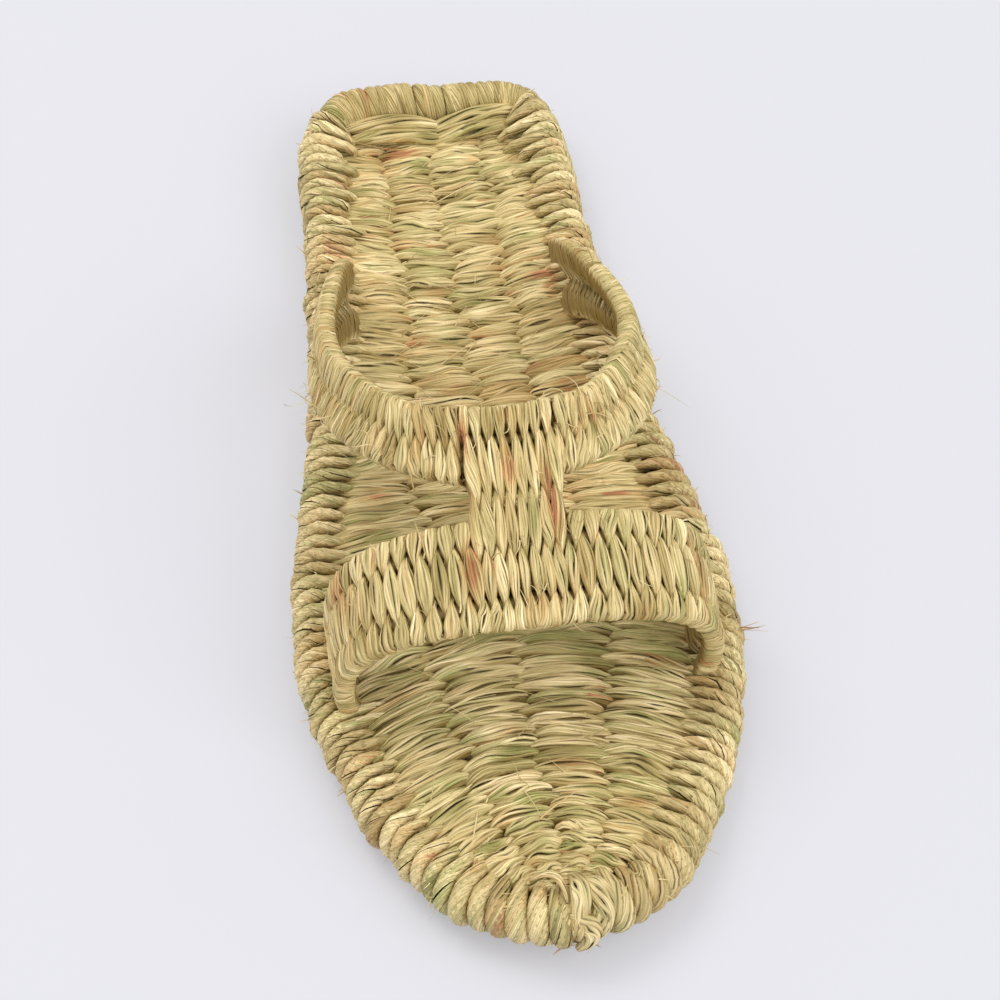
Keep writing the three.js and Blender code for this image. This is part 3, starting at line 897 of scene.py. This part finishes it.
def build_rope():
    """Each side is one helix round an ellipse, a turn for every two rows of the mat.

    Going over the top from the mat outward it moves toward the toe, and leans further that way. On
    the inside a wrap narrows and tucks down into the mat, by more or less from turn to turn, and
    outside some stand out a little. Toward the tip the wraps are fuller and a shade darker.
    """
    count = bpy.context.scene.straw_sizes.rope_straws
    rng = np.random.default_rng(SEEDS["rope"])
    uneven = np.random.default_rng(SEEDS["rope reach"])
    wraps, wrap_along, half_length = wrap_plan()
    material = straw_material("straw_edge", 0.4, 0.89, gloss=0.95)
    for name, sign, past_tip, most_lean, outer_lean in ROPE_SIDES:
        turns = int(wraps + past_tip)
        stations = turns * WRAP_STATIONS + 1
        turn = np.linspace(0, wraps + past_tip, stations)
        angle = np.pi - 2 * np.pi * turn
        out = np.cos(angle)
        gone = turn / wraps
        wobble = ROPE_WOBBLE * drift(rng, stations, turns * 2)
        tip = smooth(gone, *TIP_FROM)
        thick_wrap = ROPE_WRAP[0] + TIP_THICKER * tip
        thick_wrap = thick_wrap + ROPE_WRAP[1] * drift(rng, stations, turns * 3)
        inner = smooth(-out, 0.2, 1.0)
        tuck = TUCK[1] + TUCK[2] * drift(rng, stations, turns)
        tuck = tuck * smooth(np.sin(angle), -0.5, 0.0) * (1 - 0.55 * smooth(gone, 0.88, 1))
        reach = STAND_OUT * drift(uneven, stations, turns) * smooth(out, 0.0, 1.0)
        tucked = inner * (TUCK[0] + tuck) - reach

        def section(extra):
            along = np.interp(turn + extra, np.arange(len(wrap_along)), wrap_along)
            lean = most_lean * smooth(along, 0.08, 0.36) * smooth(1 - along, 0, 0.22) / half_length
            top, width = rope_size(along)
            outward = out * (width / 2 - thick_wrap) - tucked
            place = along + lean * np.minimum(out, outer_lean * out)
            xy = edge_point(np.maximum(place, 0), width / 2 - outward)
            return standing(xy, wrap_height(top, thick_wrap, angle) + wobble, sign)

        path = section(0.0)
        side = section(0.5) - section(-0.5)
        pitch = np.linalg.norm(square_to(unit(np.gradient(path, axis=0)), side), axis=-1)
        pinch = PINCH[0] + PINCH[1] * smooth(gone, 0.15, 0.45) - PINCH[2] * tip
        width = pitch / 2 * (0.95 + 0.12 * tip - pinch * inner)
        twist = -2 * np.pi * np.cumsum(ROPE_TWIST[0] - ROPE_TWIST[1] * tip) / WRAP_STATIONS
        straws = Straws(rng)
        # Painted shade on each wrap's underside and inner side, through depth, and in the creases
        # between its straws.
        lay_bundle(
            straws, "rope", turns, path + unit(side) * wobble[:, None], side, width,
            (thick_wrap - STRAW_HALF) * (1 - 0.25 * inner), (0.20, 0.19 + 0.05 * tip), twist, count,
            underneath(angle) + 0.12 * inner, 1.3, 1 - 0.05 * tip, crease=0.95, creased=(0.1, 0.68),
        )
        if sign > 0:
            lay_spindles(straws, TIP_BUNDLES)
        piece = straws.piece(name, material, "edge_rope")


def build_heel_roll():
    """One helix round the roll behind the heel, from corner to corner, and short bundles before it.

    The roll narrows to its ends, and its left half is a little fatter outward and higher. Here and
    there a straw is darkened by a painted shadow between its neighbours.
    """
    count = bpy.context.scene.straw_sizes.rope_straws
    rng = np.random.default_rng(SEEDS["heel"])
    stations = HEEL_TURNS * WRAP_STATIONS + 1
    turn = np.linspace(0, HEEL_TURNS, stations)
    angle = np.pi + 2 * np.pi * turn
    thick_wrap = HEEL_WRAP[0] + HEEL_WRAP[1] * drift(rng, stations, HEEL_TURNS * 3)

    def section(extra):
        around = np.clip(2 * ROLL_END * (turn + extra) / HEEL_TURNS - ROLL_END, -ROLL_END, ROLL_END)
        narrow = smooth(np.abs(around) / ROLL_END, 0.6, 1)
        width = HEEL_ROLL_WIDTH + (HEEL_ROLL_NARROW - HEEL_ROLL_WIDTH) * narrow
        to_left = -around * OUTLINE_ROUTE.length
        bulk = smooth(to_left, -5, 6) * (1 - smooth(to_left, 23, HEEL_ROLL_HALF))
        top = eased_table(ROPE_SIZE, 1, inset_point(around, 0)[:, 1]) + HEEL_BULK[1] * bulk
        inset = width / 2 - np.cos(angle) * (width / 2 - thick_wrap)
        fatter = HEEL_BULK[0] * bulk * (0.5 + 0.5 * np.cos(angle))
        return standing(inset_point(around, inset - fatter), wrap_height(top, thick_wrap, angle))

    side = unit(section(0.5) - section(-0.5))
    pitch = 2 * HEEL_ROLL_HALF / HEEL_TURNS
    shadows = drift(np.random.default_rng(SEEDS["heel shadows"]), stations, HEEL_TURNS * 4, 1, count)
    straws = Straws(rng)
    lay_bundle(
        straws, "heel", HEEL_TURNS, section(0.0), side, np.full(stations, pitch / 2 * 1.2),
        thick_wrap - STRAW_HALF, (0.24, 0.13), 2 * np.pi * HEEL_TWIST * turn, count,
        underneath(angle) + 0.8 * np.clip(shadows - 0.6, 0, 1),
    )
    lay_spindles(straws, HEEL_BUNDLES)
    piece = straws.piece("heel_roll", straw_material("straw_heel", 0.4, 0.76), "heel_binding")


# ---- the upper

def toe_cord(apex_y, apex_z, foot_y):
    """An edge cord of the toe strap: a squarish arch over the toes whose legs lean in to the mat.

    The arch is a superellipse: x = side sin(t)^(2/n), z = hip + rise cos(t)^(2/n).
    """
    shape = TOE_CORD
    power = 2 / shape["squareness"]
    t = np.linspace(0, np.pi / 2, ARCH_STEPS + 1)
    x = shape["side"] * np.sin(t) ** power
    z = shape["hip"] + (apex_z - shape["hip"]) * np.abs(np.cos(t)) ** power
    z[-1] = shape["hip"]
    x = np.append(x, ((shape["side"] + shape["foot_x"]) / 2 + shape["bulge"], shape["foot_x"]))
    z = np.append(z, ((shape["hip"] + shape["foot_z"]) / 2, shape["foot_z"]))
    rise = (z - shape["foot_z"]) / (apex_z - shape["foot_z"])
    return mirrored(columns(x, foot_y + (apex_y - foot_y) * rise, z))


# Each strap's front and back edge cord, and how far its bundles' front ends spread outward.
STRAPS = {
    "toe": (toe_cord(**TOE_FRONT_CORD), toe_cord(**TOE_BACK_CORD), 0.02),
    "instep": (mirrored(INSTEP_FRONT_CORD), mirrored(INSTEP_BACK_CORD), 0.052),
}
# Each strap's piece, how many cords its wefts cross, and the stations in one pass.
STRAP_WEAVES = {"toe": ("toe_strap", 3, 14), "instep": ("instep_strap", 2, 11)}
BRIDGE_CORDS = 5
BRIDGE_STATIONS = 36
# The bridge's middle line rises a little between the straps, at this one of its eight places.
GAP_PLACE = 4
GAP_RISE = 0.5
# How wide a weft's bundle is against the pitch between passes.
STRAP_FULL = 1.07
BRIDGE_FULL = 1.10


def strap_frame(strap, share):
    """Middle, half width, and the across, outward and travel directions of a strap.

    The front cord is read at share - fan sin(2 pi share), so bundles lie square to the strap; near
    the bridge, in the middle, they run straight on.
    """
    front, back, fan = strap
    fan = fan * smooth(np.abs(share - 0.5), 0.03, 0.15)
    front_share = np.clip(share - fan * np.sin(2 * np.pi * share), 0, 1)
    low, high = front.at(front_share), back.at(share)
    across = unit(high - low)
    travel = unit(front.tangent(front_share) + back.tangent(share))
    outward = unit(np.cross(travel, across))
    half = np.linalg.norm(high - low, axis=-1) / 2
    return (low + high) / 2, half, across, outward, travel


def weft_wave(turn, cords):
    """A weft that goes back and forth as a Lissajous figure, one pass for each half turn.

    Across it is -cos(turn), and its height is the sine of cords times turn, squared off, so it
    runs over one cord and under the next and rounds each edge of the strap. Returns both, and how
    full the bundle is: narrow where it dives, full over the cords and round the edges.
    """
    wave = np.sin(cords * turn)
    edge = smooth(np.abs(np.cos(turn)), 0.90, 1.0)
    height, full = float_shape(wave, WEFT_BIAS * (1 - edge))
    return -np.cos(turn), height, np.maximum(full, edge), edge


def lay_weft(straws, kind, passes, path, travel, pitch, weave):
    """The bundle of a weft: as wide as its pitch, thin and deep where it dives under a cord."""
    _, height, full, edge = weave
    tall = WEFT_HALF_HEIGHT - STRAW_HALF + 0.25 * (1 - full)
    # Painted shade: the weft is darker where it dives under a cord, but not round the strap's edges.
    depth = np.clip((0.62 - height) * 0.6, 0, 1) * (1 - edge)
    count = bpy.context.scene.straw_sizes.strap_straws
    lay_bundle(
        straws, kind, passes, path, travel, pitch / 2 * full, tall, (0.20, 0.19), 0.0, count,
        depth, 1.2, crease=0.78,
    )


def strap_sides(strap):
    """Where a strap's left and right sides start and end, as shares of its length."""
    share = np.linspace(0, 1, 2001)
    x = strap_frame(strap, share)[0][:, 0]
    left, right = np.interp((-BRIDGE_HALF_WIDTH, BRIDGE_HALF_WIDTH), x, share)
    return (0.0, left), (right, 1.0)


def build_strap(key, passes, material):
    """A strap's two sides, from foot to bridge, each one weft that goes back and forth along it."""
    name, cords, pass_stations = STRAP_WEAVES[key]
    straws = Straws(SEEDS[key])
    turn = np.linspace(0, passes * np.pi, passes * pass_stations + 1)
    weave = weft_wave(turn, cords)
    for start, end in strap_sides(STRAPS[key]):

        def laid(extra):
            share = np.clip(start + (end - start) * (turn / np.pi + extra) / passes, 0, 1)
            middle, half, across, outward, travel = strap_frame(STRAPS[key], share)
            reach = half + STRAP_OVERHANG - WEFT_HALF_HEIGHT
            rise = (STRAP_HALF_WALL - WEFT_HALF_HEIGHT) * weave[1]
            return middle + across * (weave[0] * reach)[:, None] + outward * rise[:, None], travel

        path, travel = laid(0.0)
        pitch = STRAP_FULL * np.linalg.norm(laid(1.0)[0] - laid(-1.0)[0], axis=-1)
        lay_weft(straws, "strap", passes, path, travel, pitch, weave)
    piece = straws.piece(name, material, "upper")


def cord_at(route, x):
    """Where a cord is at each x."""
    return columns(*(np.interp(x, route.points[:, 0], column) for column in route.points.T))


def build_bridge(material):
    """Wefts that span all five cords, from the toe strap's front edge to the instep's back edge.

    At each x the middle line runs through the five cords as a Catmull-Rom curve; a weft crosses it
    as the straps' do, with a crest of its wave on each cord.
    """
    passes = bpy.context.scene.straw_sizes.bridge_passes
    stations = passes * BRIDGE_STATIONS + 1
    turn = np.linspace(0, passes * np.pi, stations)
    weave = weft_wave(turn, BRIDGE_CORDS)
    x = (2 * turn / np.pi / passes - 1) * BRIDGE_HALF_WIDTH
    toe_front, toe_back = (cord_at(route, x) for route in STRAPS["toe"][:2])
    instep_front, instep_back = (cord_at(route, x) for route in STRAPS["instep"][:2])
    overhang = STRAP_OVERHANG - WEFT_HALF_HEIGHT
    front_edge = toe_front - unit(toe_back - toe_front) * overhang
    back_edge = instep_back + unit(instep_back - instep_front) * overhang
    gap_middle = (toe_back + instep_front) / 2 + (0, 0, GAP_RISE)
    line = np.stack([
        front_edge, toe_front, (toe_front + toe_back) / 2, toe_back, gap_middle, instep_front,
        instep_back, back_edge,
    ], axis=1)
    lengths = np.linalg.norm(np.diff(line, axis=1), axis=-1).mean(axis=0)
    marks = running(lengths)
    last = len(marks) - 1
    crests = np.append((np.arange(BRIDGE_CORDS) + 0.5) / BRIDGE_CORDS, 1)
    crests = -np.cos(np.pi * np.insert(crests, 0, 0))
    along = np.interp(weave[0], crests, np.delete(marks, GAP_PLACE))
    place = np.clip(np.searchsorted(marks, along, side="right") - 1, 0, last - 1)
    s = ((along - marks[place]) / lengths[place])[:, None]
    before, low, high, after = (
        line[np.arange(stations), np.clip(place + step, 0, last)] for step in (-1, 0, 1, 2)
    )
    path = (
        (2 * s**3 - 3 * s**2 + 1) * low + (s**3 - 2 * s**2 + s) * (high - before) / 2
        + (3 * s**2 - 2 * s**3) * high + (s**3 - s**2) * (after - low) / 2
    )
    travel = np.tile((1.0, 0.0, 0.0), (stations, 1))
    outward = unit(np.cross(travel, unit(high - low)))
    path = path + outward * ((STRAP_HALF_WALL - WEFT_HALF_HEIGHT) * weave[1])[:, None]
    pitch = BRIDGE_FULL * 4 * BRIDGE_HALF_WIDTH / passes
    straws = Straws(SEEDS["bridge"])
    lay_weft(straws, "bridge", passes, path, travel, pitch, weave)
    piece = straws.piece("bridge", material, "upper")


# ---- cords inside the weave

# The straws of a cord: their tint, and their half width against the cord's radius.
CORD_TINT = 0.7
CORD_STRAW = 0.62
# The strips inside a strap: where each lies across its half width, and its own half width in that.
STRIPS = (-0.75, -0.25, 0.25, 0.75)
STRIP_WIDTH = 0.27
# How far in from the outline and how high the heel roll's cord runs.
HEEL_CORD = {"inset": 5.6, "z": 9.3}


def lay_cord(straws, path, radius, depth=0.75, sides=8):
    """A round cord: straws side by side round a path, as many as sides; depth is its painted shade."""
    shape = (1, sides, len(path))
    forward = unit(np.gradient(path, axis=0))
    side = np.cross(forward, (0.0, 0.3, 1.0))
    phase = np.tile(2 * np.pi * np.arange(sides)[None, :, None] / sides, (1, 1, len(path)))
    radii = np.full((1, len(path)), radius)
    state = np.full(shape + (3,), (CORD_TINT, depth, 1.0))
    lay_bundles(
        straws, path[None], side[None], radii, radii, phase, np.full(shape, radius * CORD_STRAW), state
    )


def build_cords():
    """The cords that the weave goes round, and four flat strips inside each strap, all in painted
    shade.
    """
    straws = Straws(SEEDS["cords"])
    middle, ends, _ = row_plan()
    middle, ends = middle[CORD_ROWS], ends[CORD_ROWS]
    for place in MAT_CORDS:
        y = middle + (ends[:, 1] - middle) * place * place
        path = standing(columns(ends[:, 0] * place, y), MAT_THICKNESS / 2)
        lay_cord(straws, path, CORD_RADIUS["mat"])
    share = np.linspace(0.01, 0.99, 40)
    for key, places in (("toe", (0, 0.5, 1)), ("instep", (0, 1))):
        front, back, _ = STRAPS[key]
        for place in places:
            path = front.at(share) * (1 - place) + back.at(share) * place
            lay_cord(straws, path, CORD_RADIUS["strap"], depth=1.0, sides=6)
    share = np.linspace(0.01, 0.99, 120)
    for strap in STRAPS.values():
        middle, half, across, outward, _ = strap_frame(strap, share)
        for strip in STRIPS:
            path = middle + across * (half * strip)[:, None]
            # The strips are in painted shade, near the hollow colour.
            state = np.full((1, len(share), 3), (0.6, 0.85, 0.8))
            straws.lay(path[None], across[None], outward[None], half[None] * STRIP_WIDTH, state)
    along = np.linspace(0, 1, 90)
    top, width = rope_size(along)
    for sign in (1.0, -1.0):
        path = standing(edge_point(along, width / 2), wrap_height(top), sign)
        lay_cord(straws, path, CORD_RADIUS["rope"])
    around = np.linspace(-ROLL_END, ROLL_END, 24)
    path = standing(inset_point(around, HEEL_CORD["inset"]), HEEL_CORD["z"])
    lay_cord(straws, path, CORD_RADIUS["heel"])
    # The cords' hollow colour is darker still: painted shade inside the weave.
    piece = straws.piece("inner_cords", straw_material("straw_cord", 0.3, 0.8, hollow_shade_and_dirt=0.55))


# ---- loose fibres

# How far inside the rope's, the mat's and a strap's surface a fibre is rooted.
ROPE_ROOT = 0.6
MAT_ROOT = 0.6
STRAP_ROOT = 0.5
FIBRE_STATIONS = 10
FIBRE_CLEARANCE = 0.6
# How much fibres' headings scatter, and the axes that they curl about.
FIBRE_SCATTER = 0.45
CURL_SCATTER = 0.6
FIBRE_TINT = (0.3, 0.7)
FIBRE_RADIUS = 0.16


def rope_places(rng, count):
    """Random places on the upper and outer side of the edge rope, and the way out from each."""
    along = rng.uniform(0, 1, count)
    angle = rng.uniform(-0.3, 2.6, count)
    sign = rng.choice([-1.0, 1.0], count)
    top, width = rope_size(along)
    xy = edge_point(along, width / 2 - np.cos(angle) * (width / 2 - 0.9))
    place = standing(xy, wrap_height(top, ROPE_ROOT, angle), sign)
    level = np.cos(angle)[:, None] * (edge_point(along, 0) - edge_point(along, 1))
    way = columns(level[:, 0] * sign, level[:, 1], np.sin(angle))
    return place, way, unit(np.cross(way, (0.0, 1.0, 0.0)))


def mat_places(rng, count):
    """Random places on top of the mat's floats, the way up and the way along the row."""
    x, y, wave = mat_rows(rng)
    row = rng.integers(*FIBRE_ROWS, count * 3)
    station = rng.integers(3, MAT_STATIONS - 3, count * 3)
    keep = np.flatnonzero(wave[row, station] > 0.2)[:count]
    row, station = row[keep], station[keep]
    x, y = x[row, station], y[row, station]
    place = standing(columns(x, y), MAT_THICKNESS - MAT_ROOT)
    up = np.tile([0.0, 0.0, 1.0], (len(keep), 1))
    lean = eased_table(ROW_BEND, 1, y) * 2 * x
    return place, up, unit(columns(1.0, lean, 0.0))


def strap_places(rng, count, key, shares=(0.06, 0.94), spots=(-1.0, 1.0)):
    """Random places on a strap's outer face, the way out and the way across.

    The face falls off toward the strap's edges as the root of 1 - spot^8.
    """
    share = rng.uniform(*shares, count)
    spot = rng.uniform(*spots, count)
    middle, half, across, outward, _ = strap_frame(STRAPS[key], share)
    place = middle + across * (spot * (half + STRAP_OVERHANG - 0.8))[:, None]
    rounding = np.sqrt(np.clip(1.02 - spot**8, 0.05, 1))[:, None]
    place = place + outward * (STRAP_HALF_WALL - STRAP_ROOT) * rounding
    way = outward * rounding + across * (1.02 - rounding) * np.sign(spot)[:, None]
    return place, unit(way), across


def spot_places(rng, low, high, count, out, along):
    """Random places in a box from low to high, all with one way out and one way along."""
    place = columns(*(rng.uniform(*ends, count) for ends in zip(low, high)))
    return place, np.tile(out, (count, 1)), np.tile(along, (count, 1))


def lay_fibres(straws, places, length, rise, curl, radius=FIBRE_RADIUS, tint=FIBRE_TINT):
    """Lays one fibre at each place.

    Its heading starts along the surface, rise says how steeply it leaves, and it turns at an even
    rate about a random axis, curl times round in all; its width tapers to a point. length, rise and
    tint are the least and the most.
    """
    place, out, along = places
    count = len(place)
    rng = straws.rng
    share = np.linspace(0, 1, FIBRE_STATIONS)
    along = along * rng.choice([-1.0, 1.0], (count, 1))
    along = along + FIBRE_SCATTER * rng.standard_normal((count, 3))
    heading = unit(along + out * rng.uniform(*rise, (count, 1)))
    axis = unit(out + CURL_SCATTER * rng.standard_normal((count, 3)))
    turn = (rng.uniform(-curl, curl, (count, 1)) * 2 * np.pi * share)[..., None]
    aside = np.cross(axis, heading)[:, None]
    flat = square_to(axis, heading)[:, None]
    heading = heading[:, None] + flat * (np.cos(turn) - 1) + aside * np.sin(turn)
    steps = heading * rng.uniform(*length, (count, 1, 1)) / (FIBRE_STATIONS - 1)
    path = place[:, None] + np.cumsum(steps, axis=1) - steps
    path[..., 2] = np.maximum(path[..., 2], FIBRE_CLEARANCE)
    across = unit(np.cross(heading, out[:, None] + 0.3))
    outward = np.cross(across, heading)
    width = radius * rng.uniform(0.6, 1.3, (count, 1)) * (1.05 - 0.8 * share**2)
    tint = rng.uniform(*tint, (count, 1))
    shade = rng.uniform(0.85, 1.2, (count, 1))
    straws.lay(path, across, outward, width, columns(tint, 0 * width, shade))


# The loose fibres: how their places are found, from how many and where, then the length, rise, curl,
# radius and tint of lay_fibres.
FIBRES = (
    (rope_places, (320,), (1.5, 4.5), (0.1, 0.8), 0.25),
    (mat_places, (300,), (5, 15), (0.02, 0.12), 0.06),
    (strap_places, (110, "toe"), (2, 6), (0.05, 0.4), 0.35),
    (strap_places, (150, "instep"), (2, 6), (0.05, 0.4), 0.35),
    (strap_places, (16, "instep", (0.24, 0.42), (-1.0, -0.4)), (5, 10), (0.1, 0.4), 1.0, 0.2),
    (strap_places, (20, "instep", (0.55, 0.70), (-1.0, 1.0)), (6, 12), (0.1, 0.5), 1.0, 0.18),
)
TUFT_BOX = ((-4, -134, 5), (4, -131, 11))
SPRIG_PLACE = (52.5, -54.0, 11.0)


def build_fibres():
    """Fibres worked loose from the rope, the mat and the straps, a tuft at the tip and a sprig."""
    straws = Straws(SEEDS["fibres"])
    rng = straws.rng
    for places, where, *shape in FIBRES:
        lay_fibres(straws, places(rng, *where), *shape)
    tuft = spot_places(rng, *TUFT_BOX, 22, (0.0, -1.0, 0.2), (0.7, 0.0, -0.7))
    lay_fibres(straws, tuft, (2, 4.5), (0.2, 0.9), 0.5, tint=(0.55, 0.9))
    sprig = rng.normal(0, 0.4, (5, 3)) + SPRIG_PLACE
    way = np.tile([1.0, -0.1, 0.1], (5, 1))
    lay_fibres(straws, (sprig, way, way * 0), (5, 8), (2.5, 3.5), 0.1, 0.22, (0.85, 0.95))
    piece = straws.piece("loose_fibres", straw_material("straw_fibre", 0.3, 0.95))


# ---- the stage

FLOOR_REACH = 4.0
# The floor takes this share of the light that falls on it and adds a glow, so shadows stay faint.
FLOOR_TAKES = 0.6
FLOOR_GLOW = 0.49
SKY_COLOUR = (0.99, 0.965, 0.95, 1)
SKY_STRENGTH = 0.76
# Each light's name, place in metres, size, power and colour.
LIGHTS = (
    ("key_light", (-0.75, 0.75, 1.8), 1.2, 14.0, (1.0, 0.98, 0.95)),
    ("fill_light", (1.2, -1.0, 1.5), 1.6, 18.0, (0.97, 0.98, 1.0)),
)
CAMERA_PLACE = (-78.4, -571.9, 731.6)
CAMERA_AIM = (1.0, -9.0, 14.0)
CAMERA_FOCAL = 134.0


def aimed(place, aim):
    """The placing of something at place that looks along its -Z to aim, with +Y up."""
    turn = (Vector(aim) - Vector(place)).to_track_quat("-Z", "Y").to_matrix()
    return Matrix.Translation(place) @ turn.to_4x4()


def build_stage(context):
    """A square floor with a faint glow, an even sky, two soft lights and the camera."""
    scene = context.scene
    mesh = bpy.data.meshes.new("table_top")
    corners = [(x * FLOOR_REACH, y * FLOOR_REACH, 0) for x, y in ((-1, -1), (1, -1), (1, 1), (-1, 1))]
    mesh.from_pydata(corners, [], [(0, 1, 2, 3)])
    floor = bpy.data.objects.new("table_top", mesh)
    material = bpy.data.materials.new("table_top")
    material.use_nodes = True
    lit = np.array(scene.straw_colours.floor)
    fill(material.node_tree.nodes["Principled BSDF"], {
        "Base Color": lit * (FLOOR_TAKES, FLOOR_TAKES, FLOOR_TAKES, 1), "Emission Color": lit,
        "Emission Strength": FLOOR_GLOW, "Roughness": 0.6,
    })
    mesh.materials.append(material)

    world = bpy.data.worlds.new("studio")
    world.use_nodes = True
    fill(world.node_tree.nodes["Background"], {"Color": SKY_COLOUR, "Strength": SKY_STRENGTH})
    scene.world = world

    objects = [floor]
    for name, place, size, power, colour in LIGHTS:
        data = bpy.data.lights.new(name, "AREA")
        data.size = size
        data.energy = power
        data.color = colour
        objects.append(bpy.data.objects.new(name, data))
        objects[-1].matrix_world = aimed(place, (0, 0, 0))

    data = bpy.data.cameras.new("camera")
    data.lens = CAMERA_FOCAL
    data.sensor_width = 36
    data.clip_start = 0.01
    data.clip_end = 20
    scene.camera = bpy.data.objects.new("camera", data)
    scene.camera.matrix_world = aimed(Vector(CAMERA_PLACE) * MM, Vector(CAMERA_AIM) * MM)
    scene.view_settings.view_transform = "Standard"
    for item in (*objects, scene.camera):
        scene.collection.objects.link(item)


# ---- operators

class STRAW_OT_mat(bpy.types.Operator):
    """Lays the mat's rows of straw over its lengthwise cords"""

    bl_idname = "straw.mat"
    bl_label = "Lay the mat"

    def execute(self, context):
        build_mat()
        return {"FINISHED"}


class STRAW_OT_rope(bpy.types.Operator):
    """Wraps the edge rope and the heel roll"""

    bl_idname = "straw.rope"
    bl_label = "Wrap the edge rope and heel roll"

    def execute(self, context):
        build_rope()
        build_heel_roll()
        return {"FINISHED"}


class STRAW_OT_upper(bpy.types.Operator):
    """Weaves the toe strap, the instep strap and the bridge between them"""

    bl_idname = "straw.upper"
    bl_label = "Weave the upper"

    def execute(self, context):
        sizes = context.scene.straw_sizes
        material = straw_material("straw_upper", 0.4, 0.88)
        build_strap("toe", sizes.toe_passes, material)
        build_strap("instep", sizes.instep_passes, material)
        build_bridge(material)
        return {"FINISHED"}


class STRAW_OT_cords(bpy.types.Operator):
    """Puts the cords inside the weave"""

    bl_idname = "straw.cords"
    bl_label = "Lay the inner cords"

    def execute(self, context):
        build_cords()
        return {"FINISHED"}


class STRAW_OT_fibres(bpy.types.Operator):
    """Lays the fibres that have worked loose"""

    bl_idname = "straw.fibres"
    bl_label = "Lay loose fibres"

    def execute(self, context):
        build_fibres()
        return {"FINISHED"}


class STRAW_OT_stage(bpy.types.Operator):
    """Sets up the pale floor, the soft light and the camera"""

    bl_idname = "straw.stage"
    bl_label = "Set the stage"

    def execute(self, context):
        build_stage(context)
        return {"FINISHED"}


class STRAW_PT_panel(bpy.types.Panel):
    """The sandal's settings and steps"""

    bl_idname = "STRAW_PT_panel"
    bl_label = "Straw Sandal"
    bl_space_type = "VIEW_3D"
    bl_region_type = "UI"
    bl_category = "Straw Sandal"

    def draw(self, context):
        layout = self.layout
        for settings in (context.scene.straw_sizes, context.scene.straw_colours):
            box = layout.box()
            for name in settings.__annotations__:
                box.prop(settings, name)
        for step in STEPS:
            layout.operator(step.bl_idname)


STEPS = (
    STRAW_OT_stage, STRAW_OT_mat, STRAW_OT_rope, STRAW_OT_upper, STRAW_OT_cords, STRAW_OT_fibres,
)
CLASSES = (STRAW_PG_colours, STRAW_PG_sizes, *STEPS, STRAW_PT_panel)


def register():
    for cls in CLASSES:
        bpy.utils.register_class(cls)
    bpy.types.Scene.straw_colours = bpy.props.PointerProperty(type=STRAW_PG_colours)
    bpy.types.Scene.straw_sizes = bpy.props.PointerProperty(type=STRAW_PG_sizes)


def unregister():
    del bpy.types.Scene.straw_colours
    del bpy.types.Scene.straw_sizes
    for cls in reversed(CLASSES):
        bpy.utils.unregister_class(cls)


def main():
    register()
    bpy.ops.straw.stage()
    bpy.ops.straw.mat()
    bpy.ops.straw.rope()
    bpy.ops.straw.upper()
    bpy.ops.straw.cords()
    bpy.ops.straw.fibres()


if __name__ == "__main__":
    main()
